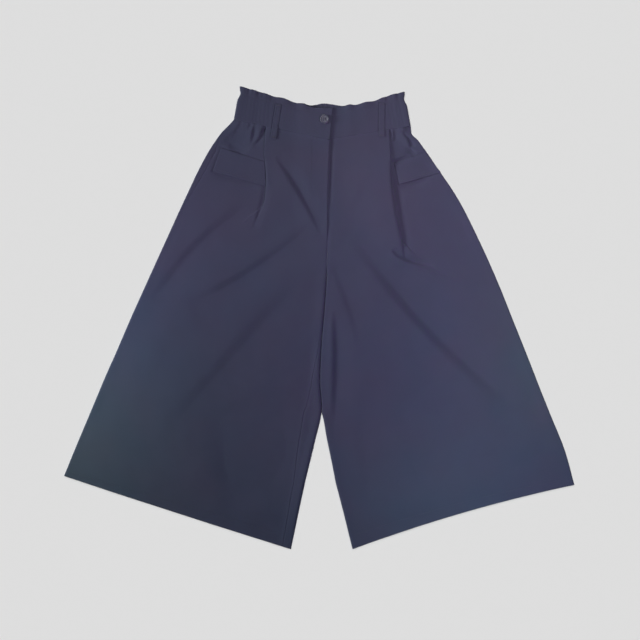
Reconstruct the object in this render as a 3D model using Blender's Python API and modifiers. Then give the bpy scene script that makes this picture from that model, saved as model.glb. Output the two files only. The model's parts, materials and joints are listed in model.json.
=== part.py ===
"""Wide-legged culottes laid flat on their back, front side up.

Millimetres below, metres in the meshes.  +X is the viewer's right (the wearer's left), +Y runs
towards the waist and +Z is up.  The origin lies on the surface under the middle of the garment.
"Down" is a share of the leg: 0 at the waist seam, 1 at the hem.  A leg's sections run from its
inner edge (centre front, then inseam) to its outer edge (side seam).
"""

import math
from collections import namedtuple

import bmesh
import bpy
import numpy as np
from mathutils import Vector
from mathutils.bvhtree import BVHTree

MM = 0.001

# Cloth and the stack of layers
WALL = 1.1                    # leg cloth, flaps and loops
BAND_WALL = 2.4               # casing: two layers of cloth round the elastic
SEAM_HALF = 0.3               # from a seam to a wall's end, so that sewn pieces stay clear
BACK_Z = WALL / 2             # middle of the back's wall, flat on the surface
FRONT_Z = 4.4                 # middle of the front's wall along its edges
LEG_LOFT = 1.4                # how much higher a front lies between its edges
LOFT_EDGE = (5.0, 75.0)       # distances from an edge between which it rises
LOFT_WAIST = (0.0, 0.06)      # down: it rises below the waist seam and sinks to the hem
LOFT_HEM = (1.0, 0.92)
LOWEST_FRONT_Z = 2.3          # a crease never sinks onto the back
ABOVE = 100.0                 # a height clear of everything
EDGE_RADIUS = (FRONT_Z - BACK_Z) / 2
MID_EDGE = EDGE_RADIUS * math.pi / 2

# Legs: rows and edge columns of their grids
LEG_ROWS = 40
ROW_CROWDING = 1.25           # above 1, rows lie closer at the waist
EDGE_STEPS = np.array([0.0, 0.6, 2.0])      # a front's columns from the seam inwards
EDGE_COLUMNS = 5              # a back's columns round an edge
ON_TOP = 3.0                  # width past an edge over which a back takes the front's relief
DOWN = np.linspace(0.0, 1.0, LEG_ROWS) ** ROW_CROWDING
CROTCH = (0.325, 0.400)       # down: below it each leg is a tube of its own
DRAW_IN_RATE = 6.0            # how much sooner the inner walls part than they turn

# The right leg's inner edge, the gap across to the left leg's, and both outer edges
Section = namedtuple("Section", "down inner_x inner_y parting right_x right_y left_x left_y")
SECTIONS = [
    Section(0.000, 15, 321, 0, -154, 357, 165, 345),
    Section(0.015, 15, 311, 0, -163, 347, 167, 331),
    Section(0.030, 15, 300, 0, -174, 336, 176, 322),
    Section(0.060, 15, 279, 0, -191, 313, 189, 305),
    Section(0.120, 14, 234, 0, -213, 275, 211, 273),
    Section(0.200, 14, 176, 0, -239, 221, 246, 221),
    Section(0.320, 14, 93, 0, -277, 138, 286, 144),
    Section(0.430, 8, 14, 0, -311, 63, 322, 64),
    Section(0.530, 2, -58, 0, -342, -6, 352, -11),
    Section(0.610, 0, -117, 0, -366, -62, 378, -76),
    Section(0.680, 3, -170, 0, -386, -107, 399, -130),
    Section(0.750, -7, -220, 21, -409, -162, 417, -175),
    Section(0.860, -26, -299, 56, -438, -231, 441, -234),
    Section(1.000, -51, -417, 111, -460, -285, 460, -301),
]
HEM_BOW = {"right": -1.0, "left": 8.0}     # how far the hem's middle lies above a straight line
BOW_STARTS = (0.7, 1.0)       # down

# Where the seams lie: distance in from the edge on top, below zero round the edge
Seam = namedtuple("Seam", "down side inseam")
SEAMS = {
    "right": [
        Seam(0.00, -MID_EDGE, -MID_EDGE), Seam(0.04, 0, -MID_EDGE), Seam(0.08, 9, -MID_EDGE),
        Seam(0.14, 9, -MID_EDGE), Seam(0.20, 4, -MID_EDGE), Seam(0.30, -MID_EDGE, -MID_EDGE),
        Seam(0.40, -MID_EDGE, -MID_EDGE), Seam(0.54, -MID_EDGE, 4), Seam(0.62, -MID_EDGE, 14),
        Seam(0.69, -MID_EDGE, 30), Seam(0.78, -MID_EDGE, 25), Seam(0.86, -MID_EDGE, 18),
        Seam(1.00, -MID_EDGE, 14),
    ],
    "left": [Seam(0.0, -MID_EDGE, -MID_EDGE), Seam(1.0, -MID_EDGE, -MID_EDGE)],
}

# Fly: the right front laps over the left one down to FLY_END
FLY_END = 0.20
FLY_LAP = 9.0                 # right front beyond the centre seam
FLY_UNDERLAP = 16.0           # left front under it
FLY_LIFT = 1.9
FLY_ACROSS = (66.0, 26.0)     # distances in between which the lap rises to its full height
FLY_DOWN = (0.26, 0.20)       # and how far down the leg it does

# Pleats: the front's middle lies on top, and the fold's edge faces outwards
PLEAT_STEP = 2.3              # between the middles of neighbouring layers
PLEAT_DEPTH = 24.0
PLEAT_LEAST = 0.4             # depth at which it starts to open, as a plain step
PLEAT_BULGE = 0.2             # how round that step's corners still are
PLEAT_SETTLE = (-50.0, -4.0)  # from the pleat's back: between these the top layer rises
Fold = namedtuple("Fold", "down edge")
PLEATS = {
    "right": [Fold(0.0, 118), Fold(0.05, 120), Fold(0.15, 116), Fold(0.26, 132), Fold(1.0, 200)],
    "left": [Fold(0.0, 115), Fold(0.12, 119), Fold(0.26, 136), Fold(0.34, 148), Fold(1.0, 210)],
}
PLEAT_SHALLOWS = {"right": (0.08, 0.25), "left": (0.10, 0.33)}     # from and to, down
PLEAT_OPENS = {"right": (0.25, 0.46), "left": (0.33, 0.54)}
MIDDLE_SLANT = 0.12           # share of a layer's step by which the opening middle stands up
TOP_COLUMNS, NOSE_COLUMNS, MIDDLE_COLUMNS, BOTTOM_COLUMNS = 7, 2, 2, 7

# Creases, each a trough through three points, with a ridge on its left (+) or right (-)
Crease = namedtuple("Crease", "start_x start_y mid_x mid_y end_x end_y depth width ridge")
CREASES = [
    Crease(-132, 205, -245, 122, -317, 18, 1.8, 12, 1.4),        # pleat's end to the side
    Crease(-56, 151, -108, 80, -222, 36, 2.0, 10, 1.6),
    Crease(-31, 93, -135, -38, -265, -180, 2.6, 13, 2.2),        # crotch to the right hem
    Crease(-69, 284, -34, 216, -2, 176, 2.4, 8, 1.8),            # beside the fly
    Crease(-177, -173, -141, -208, -119, -251, 1.5, 12, -1.2),
    Crease(64, 113, 195, -16, 351, -168, 2.6, 13, -2.4),         # crotch to the left hem
    Crease(135, 113, 212, 84, 280, 43, 1.8, 10, -1.4),
    Crease(27, 93, 55, 28, 77, -47, 1.8, 10, -1.2),
    Crease(24, 14, 31, -75, 26, -176, 2.6, 8, -2.6),             # roll along the inner edge
    Crease(81, -135, 84, -230, 93, -346, 1.6, 14, 1.2),
    Crease(84, 253, 74, 212, 52, 176, 1.2, 10, 1.0),
    Crease(-121, 349, -123, 333, -126, 312, 2.0, 6, 2.0),        # gathers under the casing
    Crease(-98, 343, -105, 327, -114, 308, 2.0, 6, -2.0),
    Crease(-138, 352, -146, 336, -158, 318, 1.2, 7, 1.4),
    Crease(149, 338, 163, 314, 179, 294, 2.0, 6, 2.0),
]
CREASE_STEPS = 24
CREASE_TAPER = 0.7            # below 1, a crease keeps its depth nearer to its ends
CREASE_EDGE = (4.0, 18.0)     # distances from an edge between which creases grow
RIDGE_ASIDE = 1.7             # a ridge's place and width, in widths of its trough
RIDGE_SPREAD = 1.3

# Waistband: casing with a frill above it
BAND_FRONT_Z = 6.4
BAND_BACK_Z = BAND_WALL / 2
BAND_RADIUS = (BAND_FRONT_Z - BAND_BACK_Z) / 2
BAND_TURNS = (0, 35, 66, 77)  # degrees at the columns where it turns round the side
BAND_SEAM = 0.8               # clear of the legs' upper edge
BAND_LEVELS = (0.0, 0.35, 0.70, 0.78, 0.89, 1.0)     # shares of its height
NECK = 0.78                   # level of the casing's upper seam, where the frill starts
NECK_HEIGHT = 0.22
NECK_PINCH = 3.5
NECK_FADE = 24.0              # how far in from the side the pinch reaches
SIDE_FADE = 8.0               # waves flatten towards the side over this distance
FLY_BAND_LIFT = 1.9           # the right band rises and the left one sinks where they lap
FLY_BAND_RISES = (-45.0, -10.0)            # from and to, along the band
FLY_BAND_DROP = 1.2
FLY_BAND_SINKS = (65.0, 30.0)
BandSection = namedtuple("BandSection", "seam_x edge_x edge_y")
BAND_SECTIONS = {
    "waistband_front_right": [
        BandSection(25, 24, 377), BandSection(-8, -8, 378), BandSection(-45, -42, 387),
        BandSection(-85, -80, 398), BandSection(-125, -116, 409), BandSection(-154, -143, 416.8),
    ],
    "waistband_front_left": [
        BandSection(-5, -3, 377), BandSection(25, 25, 377), BandSection(60, 57, 382),
        BandSection(100, 95, 389), BandSection(140, 130, 401), BandSection(165, 154, 407),
    ],
    "waistband_back": [
        BandSection(-154, -143, 415), BandSection(-112, -106, 403), BandSection(-60, -58, 391),
        BandSection(-15, -15, 383), BandSection(15, 12, 386), BandSection(45, 43, 382),
        BandSection(100, 95, 387), BandSection(140, 131, 399), BandSection(165, 154, 405),
    ],
}
BAND_COLUMNS = {"waistband_front_right": 22, "waistband_front_left": 22, "waistband_back": 38}

# Frill: a wave a row, its edge rising in the garment's plane and off the surface
Wave = namedtuple("Wave", "x half_width lift rise")
WAVES = [
    Wave(-137, 11, 2.6, 0.6), Wave(-117, 11, 3.4, 0.8), Wave(-97, 12, 2.4, 0.8),
    Wave(-64, 17, 3.2, 2.2), Wave(-29, 13, 3.6, 2.4), Wave(4, 14, 1.2, 0.6),
    Wave(54, 11, 3.4, 2.6), Wave(84, 17, 3.0, 2.0), Wave(113, 11, 2.6, 1.0),
    Wave(133, 10, 3.2, 0.8), Wave(150, 9, 2.4, 0.4),
]
WAVE_LEVELS = (0.0, 0.5, NECK, 1.0)        # shares of the band's height, and the share of a
WAVE_SHARES = (0.35, 0.35, 0.15, 1.0)      # wave's lift at each
BACK_WAVE = 0.6

# Pocket flaps: corners on the front, going round from the upper inner one
Flap = namedtuple("Flap", "top_in top_out low_out low_in")
FLAPS = {
    "right": Flap((-103.4, 279), (-175, 305), (-191, 264), (-101.6, 236)),
    "left": Flap((136, 279), (201, 300), (223, 261), (145, 240)),
}
FLAP_COLUMNS, FLAP_ROWS = 9, 5
FLAP_CLEAR = 0.5
FLAP_REACH = 0.4              # how far round a point the surface under it is felt for
FLAP_CURL = 1.2               # how far the free edge lifts

# Belt loops: down the band and over its seam
Loop = namedtuple("Loop", "top foot")
LOOPS = {"right": Loop((-73, 385), (-83, 322)), "left": Loop((113, 387), (112, 325))}
LOOP_WIDTH = 11.0
LOOP_ROWS = 9
LOOP_CLEAR = 0.5
LOOP_REACH = 5.0

# Button: its half section from the well's middle out over the rim and back under it
BUTTON_PLACE = (9.4, 357.0)
Ring = namedtuple("Ring", "radius height")
BUTTON_RINGS = [
    Ring(0.0, 1.9), Ring(5.8, 1.9), Ring(6.6, 2.6), Ring(7.3, 2.8), Ring(7.9, 2.5),
    Ring(8.2, 1.7), Ring(7.8, 0.6), Ring(6.6, 0.0), Ring(0.0, 0.0),
]
BUTTON_FOOT = 7.0             # how far out it can touch the band
BUTTON_CLEAR = 0.4
BUTTON_SEGMENTS = 32
BUTTON_EDGE = 40.0            # degrees at which its shading breaks
BUTTON_HOLE = 0.9             # radius
BUTTON_HOLE_OFFSET = 1.6
BUTTON_HOLE_SEGMENTS = 10
DRILL = 12.0

# Finishes: base colour, roughness
NAVY = (0.047, 0.050, 0.086, 1.0)
HORN = (0.085, 0.088, 0.130, 1.0)


def rising(value, stretch):
    """Rises softly from 0 to 1 as value goes from the stretch's start to its end."""
    start, end = stretch
    share = np.clip((value - start) / (end - start), 0.0, 1.0)
    return share * share * (3.0 - 2.0 * share)


def mix(first, second, share):
    return first + (second - first) * share


def hump(offset, half_width):
    """1 in the middle, 0 from half_width outwards."""
    return 0.5 + 0.5 * np.cos(np.pi * np.clip(np.abs(offset) / half_width, 0.0, 1.0))


def through(rows, key, value, at):
    """A smooth line through one column of a table, read at the key column's values."""
    keys = np.array([getattr(row, key) for row in rows], float)
    values = np.array([getattr(row, value) for row in rows], float)
    if keys[0] > keys[-1]:
        keys, values = keys[::-1], values[::-1]
    slopes = np.gradient(values, keys)
    index = np.clip(np.searchsorted(keys, at, side="right") - 1, 0, len(keys) - 2)
    step = keys[index + 1] - keys[index]
    t = (at - keys[index]) / step
    return (
        values[index] * (2 * t**3 - 3 * t**2 + 1)
        + slopes[index] * step * (t**3 - 2 * t**2 + t)
        + values[index + 1] * (3 * t**2 - 2 * t**3)
        + slopes[index + 1] * step * (t**3 - t**2)
    )


def along_rows(rows, column):
    """A table's column at every row of a leg, straight between the table's rows."""
    return np.interp(DOWN, [row.down for row in rows], [getattr(row, column) for row in rows])


def material(name, colour, roughness):
    made = bpy.data.materials.new(name)
    made.use_nodes = True
    shader = made.node_tree.nodes["Principled BSDF"]
    shader.inputs["Base Color"].default_value = colour
    shader.inputs["Roughness"].default_value = roughness
    shader.inputs["Metallic"].default_value = 0.0
    return made


def sheet(name, points, wall):
    """One piece of cloth: a grid laid through points[row, column], given its wall."""
    rows, columns = points.shape[:2]
    grid = bmesh.new()
    bmesh.ops.create_grid(grid, x_segments=columns - 1, y_segments=rows - 1, size=1)
    for vertex in grid.verts:
        column = round((vertex.co.x + 1) / 2 * (columns - 1))
        row = round((vertex.co.y + 1) / 2 * (rows - 1))
        vertex.co = Vector(points[row, column]) * MM
    mesh = bpy.data.meshes.new(name)
    grid.to_mesh(mesh)
    grid.free()
    mesh.shade_smooth()
    mesh.materials.append(material(f"{name}_cloth", NAVY, 0.85))
    piece = bpy.data.objects.new(name, mesh)
    garment.objects.link(piece)
    thickness = piece.modifiers.new("wall", "SOLIDIFY")
    thickness.thickness = wall * MM
    thickness.offset = 0.0
    thickness.use_quality_normals = True
    return piece


# ---------------------------------------------------------------- legs

class LegLines:
    """The plan of one leg: its edges, and the direction and width of each section."""

    def __init__(self, side):
        inner_y = through(SECTIONS, "down", "inner_y", DOWN)
        inner_x = through(SECTIONS, "down", "inner_x", DOWN)
        if side == "left":
            inner_x = inner_x + along_rows(SECTIONS, "parting")
        outer_x = through(SECTIONS, "down", f"{side}_x", DOWN)
        outer_y = through(SECTIONS, "down", f"{side}_y", DOWN)
        self.side = side
        self.inner = np.stack([inner_x, inner_y], axis=1)
        across = np.stack([outer_x, outer_y], axis=1) - self.inner
        self.width = np.linalg.norm(across, axis=1)
        self.across = across / self.width[:, None]
        self.tube = rising(DOWN, CROTCH)
        # the wall tilts before it has turned, so it draws in from the centre line early
        parted = np.minimum(DRAW_IN_RATE * self.tube, 1)
        self.draw_in = WALL / 2 * (parted - self.tube)[:, None]

    def place(self, distance):
        """Plan points at distance[row, column] from the inner edge."""
        points = self.inner[:, None, :] + self.across[:, None, :] * distance[..., None]
        share = distance / self.width[:, None]
        bow = HEM_BOW[self.side] * rising(DOWN, BOW_STARTS)[:, None]
        points[..., 1] += bow * 4 * share * (1 - share)
        return points[..., 0], points[..., 1]


def turn(beyond):
    """A wall going round an edge: inset from the outline and drop, for a distance beyond
    the point where the level top starts to turn."""
    angle = np.clip(beyond / EDGE_RADIUS, 0.0, math.pi)
    inset = WALL / 2 + EDGE_RADIUS * (1 - np.sin(angle))
    inset = inset + np.maximum(-beyond, 0) + np.maximum(beyond - math.pi * EDGE_RADIUS, 0)
    return inset, EDGE_RADIUS * (1 - np.cos(angle))


def crease_height(x, y):
    """Troughs and ridges of every crease at the given plan points."""
    height = np.zeros_like(x)
    t = np.linspace(0.0, 1.0, CREASE_STEPS)
    for crease in CREASES:
        start = np.array([crease.start_x, crease.start_y], float)
        middle = np.array([crease.mid_x, crease.mid_y], float)
        end = np.array([crease.end_x, crease.end_y], float)
        bend = 2 * middle - (start + end) / 2
        line = (np.outer((1 - t) ** 2, start) + np.outer(2 * t * (1 - t), bend)
                + np.outer(t**2, end))
        way = np.gradient(line, axis=0)
        way /= np.linalg.norm(way, axis=1)[:, None]
        gap_x = x[..., None] - line[:, 0]
        gap_y = y[..., None] - line[:, 1]
        nearest = np.argmin(gap_x**2 + gap_y**2, axis=-1)[..., None]
        dx = np.take_along_axis(gap_x, nearest, -1)[..., 0]
        dy = np.take_along_axis(gap_y, nearest, -1)[..., 0]
        nearest = nearest[..., 0]
        beside = way[nearest, 0] * dy - way[nearest, 1] * dx
        past = np.abs(way[nearest, 0] * dx + way[nearest, 1] * dy) / crease.width
        fade = np.sin(np.pi * t[nearest]) ** CREASE_TAPER * np.exp(-past**2)
        lean = math.copysign(RIDGE_ASIDE * crease.width, crease.ridge)
        spread = RIDGE_SPREAD * crease.width
        height -= crease.depth * fade * np.exp(-(beside / crease.width) ** 2)
        height += abs(crease.ridge) * fade * np.exp(-((beside - lean) / spread) ** 2)
    return height


def relief(leg, distance, x, y):
    """What the front's surface adds to its level: loft between the edges, and creases."""
    tube = leg.tube[:, None]
    outside = leg.width[:, None] - distance
    down = DOWN[:, None]
    loft = (LEG_LOFT * rising(outside, LOFT_EDGE) * mix(1.0, rising(distance, LOFT_EDGE), tube)
            * rising(down, LOFT_HEM) * rising(down, LOFT_WAIST))
    inland = rising(outside, CREASE_EDGE) * mix(1.0, rising(distance, CREASE_EDGE), tube)
    return loft + crease_height(x, y) * inland


def fly_shift(side):
    """How far a front runs past the centre seam at each row."""
    share = np.clip(DOWN / FLY_END, 0, 1)
    if side == "right":
        return FLY_LAP * (1 - share**3)
    return FLY_UNDERLAP * (1 - share**2)


def front_points(leg):
    """Rows and columns of a front's middle surface, with its pleat folded."""
    seam_in = along_rows(SEAMS[leg.side], "inseam")[:, None]
    seam_out = along_rows(SEAMS[leg.side], "side")[:, None]
    tube = leg.tube[:, None]
    turned, inner_drop = turn(-seam_in - SEAM_HALF - EDGE_STEPS)
    level = SEAM_HALF + EDGE_STEPS - fly_shift(leg.side)[:, None]
    inner = mix(level, turned + SEAM_HALF, tube) + leg.draw_in
    inner_drop = inner_drop * tube
    outer_inset, outer_drop = turn(-seam_out - SEAM_HALF - EDGE_STEPS[::-1])
    outer = leg.width[:, None] - outer_inset

    folded = np.zeros((LEG_ROWS, TOP_COLUMNS + 2 * NOSE_COLUMNS + MIDDLE_COLUMNS + BOTTOM_COLUMNS))
    lift = np.zeros_like(folded)
    radius = PLEAT_STEP / 2
    edge = through(PLEATS[leg.side], "down", "edge", DOWN) - radius
    shallow = rising(DOWN, PLEAT_SHALLOWS[leg.side])
    back = edge - mix(PLEAT_DEPTH, PLEAT_LEAST, shallow)
    bulge = radius * mix(1.0, PLEAT_BULGE, shallow)
    turns = math.pi * np.arange(1, NOSE_COLUMNS + 1) / (NOSE_COLUMNS + 1)
    for row in range(LEG_ROWS):
        top = np.linspace(inner[row, -1], edge[row], TOP_COLUMNS + 1)[1:]
        bottom = np.linspace(back[row], outer[row, 0], BOTTOM_COLUMNS + 1)[:-1]
        folded[row] = np.concatenate([
            top, edge[row] + bulge[row] * np.sin(turns), [edge[row], back[row]],
            back[row] - bulge[row] * np.sin(turns), bottom])
        settled = rising(top - back[row], PLEAT_SETTLE)
        lift[row] = np.concatenate([
            2 * settled, 1.5 + np.cos(turns) / 2,
            [1 + MIDDLE_SLANT * shallow[row], 1 - MIDDLE_SLANT * shallow[row]],
            0.5 + np.cos(turns) / 2, np.zeros(BOTTOM_COLUMNS)])
    flat = mix(inner[:, -1:], outer[:, :1], np.linspace(0, 1, folded.shape[1] + 2)[1:-1])
    opened = rising(DOWN, PLEAT_OPENS[leg.side])[:, None]
    pleated = mix(folded, flat, opened)
    lift = PLEAT_STEP * lift * (1 - opened)

    distance = np.concatenate([inner, pleated, outer], axis=1)
    x, y = leg.place(distance)
    none = np.zeros_like(inner)
    z = FRONT_Z + np.concatenate([none, lift, none], axis=1) + relief(leg, distance, x, y)
    if leg.side == "right":
        z += FLY_LIFT * rising(DOWN, FLY_DOWN)[:, None] * rising(distance, FLY_ACROSS)
    z -= np.concatenate([inner_drop, np.zeros_like(pleated), outer_drop], axis=1)
    return np.stack([x, y, np.maximum(z, LOWEST_FRONT_Z)], axis=-1)


def round_edge(seam):
    """Distances beyond the top's turn, from the seam to the floor, for the back's wall."""
    start = -seam + SEAM_HALF
    level = np.maximum(start, 0)
    share = np.arange(1, EDGE_COLUMNS) / (EDGE_COLUMNS - 1)
    return np.concatenate([start, level + (math.pi * EDGE_RADIUS - level) * share], axis=1)


def back_points(leg):
    """The back: flat on the surface, its edges turned up and over to the seams."""
    seam_in = along_rows(SEAMS[leg.side], "inseam")[:, None]
    seam_out = along_rows(SEAMS[leg.side], "side")[:, None]
    tube = leg.tube[:, None]

    beyond_in = round_edge(seam_in)
    inset, drop = turn(beyond_in)
    inner = mix(beyond_in + seam_in, inset + SEAM_HALF, tube) + leg.draw_in
    inner_z = mix(BACK_Z, FRONT_Z - drop, tube)
    beyond_out = round_edge(seam_out)[:, ::-1]
    inset, drop = turn(beyond_out)
    outer = leg.width[:, None] - inset
    outer_z = FRONT_Z - drop
    middle = (inner[:, -1:] + outer[:, :1]) / 2

    distance = np.concatenate([inner, middle, outer], axis=1)
    z = np.concatenate([inner_z, np.full_like(middle, BACK_Z), outer_z], axis=1)
    x, y = leg.place(distance)
    on_top = np.zeros_like(z)
    on_top[:, 0] = rising(beyond_in[:, 0], (0, -ON_TOP))
    on_top[:, -1] = rising(beyond_out[:, -1], (0, -ON_TOP))
    z += relief(leg, distance, x, y) * on_top
    return np.stack([x, y, z], axis=-1)


# ---------------------------------------------------------------- waistband

def waist_seam_y(x):
    """The line along which the legs are sewn to the band."""
    waist = SECTIONS[0]
    return np.interp(x, [waist.right_x, waist.inner_x, waist.left_x],
                     [waist.right_y, waist.inner_y, waist.left_y])


def frill(x):
    """The waves' lift and rise at x."""
    lift = sum(wave.lift * hump(x - wave.x, wave.half_width) for wave in WAVES)
    rise = sum(wave.rise * hump(x - wave.x, wave.half_width) for wave in WAVES)
    return lift, rise


def band_points(name):
    """A piece of waistband: columns along it, rows from the waist seam to the frill's edge."""
    sections = BAND_SECTIONS[name]
    first, last = sections[0].seam_x, sections[-1].seam_x
    way = math.copysign(1.0, last - first)
    is_back = name == "waistband_back"
    turns = np.radians(BAND_TURNS)
    inset = way * (BAND_WALL / 2 + BAND_RADIUS * (1 - np.sin(turns)))
    turned = BAND_RADIUS * (1 - np.cos(turns))
    start = first + inset[0] if is_back else first
    x = np.linspace(start, last - inset[0], BAND_COLUMNS[name])
    side_turn = np.concatenate([np.zeros_like(x), turned[1:]])
    x = np.concatenate([x, last - inset[1:]])
    from_side = np.abs(last - x)
    inward = np.full_like(x, -way)
    if is_back:
        x = np.concatenate([first + inset[:0:-1], x])
        side_turn = np.concatenate([turned[:0:-1], side_turn])
        from_side = np.minimum(x - first, last - x)
        inward = np.sign((first + last) / 2 - x)

    edge_x = through(sections, "seam_x", "edge_x", x)
    edge_y = through(sections, "seam_x", "edge_y", x)
    lift, rise = frill(edge_x)
    levels = np.array(BAND_LEVELS)[:, None]
    pinch = NECK_PINCH * hump(levels - NECK, NECK_HEIGHT) * rising(from_side, (NECK_FADE, 0))
    plan_x = mix(x, edge_x, levels) + pinch * inward
    plan_y = mix(waist_seam_y(x) + BAND_SEAM, edge_y + rise, levels)
    wave = (lift * rising(from_side, (BAND_RADIUS, BAND_RADIUS + SIDE_FADE))
            * np.interp(levels, WAVE_LEVELS, WAVE_SHARES))
    if is_back:
        z = BAND_BACK_Z + side_turn + BACK_WAVE * wave
    elif name == "waistband_front_right":
        z = BAND_FRONT_Z - side_turn + wave + FLY_BAND_LIFT * rising(plan_x, FLY_BAND_RISES)
    else:
        z = BAND_FRONT_Z - side_turn + wave - FLY_BAND_DROP * rising(plan_x, FLY_BAND_SINKS)
    return np.stack([plan_x, plan_y, z], axis=-1)


# ---------------------------------------------------------------- what lies on top

def surface_under(pieces):
    """Gives a function that finds the highest point of the pieces within reach of x, y."""
    bpy.context.view_layer.update()
    graph = bpy.context.evaluated_depsgraph_get()
    trees = [BVHTree.FromObject(piece, graph) for piece in pieces]

    def height(x, y, reach):
        found = []
        for dx, dy in ((0, 0), (reach, 0), (-reach, 0), (0, reach), (0, -reach)):
            start = Vector((x + dx, y + dy, ABOVE)) * MM
            for tree in trees:
                hit = tree.ray_cast(start, Vector((0, 0, -1)))[0]
                if hit:
                    found.append(hit.z / MM)
        return max(found) if found else FRONT_Z

    return height


def flap_points(flap, height):
    """A flap on the front's points, moved out, its free edge curling up a little."""
    points = np.zeros((FLAP_ROWS, FLAP_COLUMNS, 3))
    corners = [np.array(corner, float) for corner in flap]
    for row, fall in enumerate(np.linspace(0, 1, FLAP_ROWS)):
        for column, out in enumerate(np.linspace(0, 1, FLAP_COLUMNS)):
            upper = mix(corners[0], corners[1], out)
            lower = mix(corners[3], corners[2], out)
            x, y = mix(upper, lower, fall)
            z = height(x, y, FLAP_REACH) + FLAP_CLEAR + WALL / 2 + FLAP_CURL * fall**3
            points[row, column] = (x, y, z)
    return points


def loop_points(loop, height):
    """A belt loop: a strip from the frill's foot over the band and its seam."""
    top, foot = (np.array(end, float) for end in loop)
    along = (foot - top) / np.linalg.norm(foot - top)
    aside = np.array([along[1], -along[0]])
    if aside[0] < 0:
        aside = -aside
    points = np.zeros((LOOP_ROWS, 3, 3))
    for row, share in enumerate(np.linspace(0, 1, LOOP_ROWS)):
        across = [mix(top, foot, share) + aside * LOOP_WIDTH * offset for offset in (-0.5, 0, 0.5)]
        level = max(height(x, y, LOOP_REACH) for x, y in across)
        for column, (x, y) in enumerate(across):
            points[row, column] = (x, y, level + LOOP_CLEAR + WALL / 2)
    return points


def make_button(height):
    """A four-hole button: a turned profile with a rim and a shallow well."""
    turned = bmesh.new()
    corners = [turned.verts.new((ring.radius * MM, 0, ring.height * MM)) for ring in BUTTON_RINGS]
    for first, second in zip(corners, corners[1:]):
        turned.edges.new((first, second))
    bmesh.ops.spin(turned, geom=turned.verts[:] + turned.edges[:], axis=(0, 0, 1),
                   cent=(0, 0, 0), angle=2 * math.pi, steps=BUTTON_SEGMENTS)
    bmesh.ops.remove_doubles(turned, verts=turned.verts, dist=0.00001)
    bmesh.ops.recalc_face_normals(turned, faces=turned.faces)
    mesh = bpy.data.meshes.new("button")
    turned.to_mesh(mesh)
    turned.free()
    mesh.materials.append(material("button_horn", HORN, 0.35))
    mesh.set_sharp_from_angle(angle=math.radians(BUTTON_EDGE))
    button = bpy.data.objects.new("button", mesh)
    garment.objects.link(button)
    x, y = BUTTON_PLACE
    seat = height(x, y, BUTTON_FOOT)
    button.location = Vector((x, y, seat + BUTTON_CLEAR)) * MM
    for number, (right, up) in enumerate(((1, 1), (-1, 1), (-1, -1), (1, -1))):
        drill = bmesh.new()
        bmesh.ops.create_cone(drill, cap_ends=True, segments=BUTTON_HOLE_SEGMENTS,
                              radius1=BUTTON_HOLE * MM, radius2=BUTTON_HOLE * MM, depth=DRILL * MM)
        hole_mesh = bpy.data.meshes.new(f"button_hole_{number}")
        drill.to_mesh(hole_mesh)
        drill.free()
        hole = bpy.data.objects.new(f"button_hole_{number}", hole_mesh)
        cutters.objects.link(hole)
        hole.parent = button
        hole.location = Vector((right * BUTTON_HOLE_OFFSET, up * BUTTON_HOLE_OFFSET, 0)) * MM
        hole.hide_render = True
        hole.display_type = "WIRE"
        cut = button.modifiers.new(f"hole_{number}", "BOOLEAN")
        cut.operation = "DIFFERENCE"
        cut.object = hole
    return button


# ---------------------------------------------------------------- the garment

for old in list(bpy.data.objects):
    bpy.data.objects.remove(old)
garment = bpy.data.collections.new("culottes")
cutters = bpy.data.collections.new("cutters")
for collection in (garment, cutters):
    bpy.context.scene.collection.children.link(collection)

legs = {side: LegLines(side) for side in ("right", "left")}
pieces = {}
for side, leg in legs.items():
    pieces[f"front_{side}"] = sheet(f"front_{side}", front_points(leg), WALL)
    pieces[f"back_{side}"] = sheet(f"back_{side}", back_points(leg), WALL)
for name in BAND_SECTIONS:
    pieces[name] = sheet(name, band_points(name), BAND_WALL)

for side in legs:
    front = surface_under([pieces[f"front_{side}"], pieces[f"back_{side}"]])
    sheet(f"pocket_flap_{side}", flap_points(FLAPS[side], front), WALL)
    waist = surface_under([pieces[f"front_{side}"], pieces[f"waistband_front_{side}"]])
    sheet(f"belt_loop_{side}", loop_points(LOOPS[side], waist), WALL)
make_button(surface_under([pieces["waistband_front_right"]]))
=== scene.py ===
"""The looks of a pair of wide-legged culottes laid flat on their back, front side up.

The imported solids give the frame.  Each piece of cloth is laid out again here on its solid's form,
on a finer grid and with its smaller folds, and then come the sewing, the button's finish and the
studio.  Tables and maths are in millimetres, meshes in metres.  +X is the wearer's left, +Y runs
towards the waist and +Z is up.  "Down" is a share of the leg: 0 at the waist seam, 1 at the hem.
A pair of distances or shares is a stretch unless its comment says otherwise: something grows
softly from its first value to its second.
"""

import json
import math
from collections import namedtuple

import bmesh
import bpy
import numpy as np
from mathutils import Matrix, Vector
from mathutils.bvhtree import BVHTree

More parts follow.
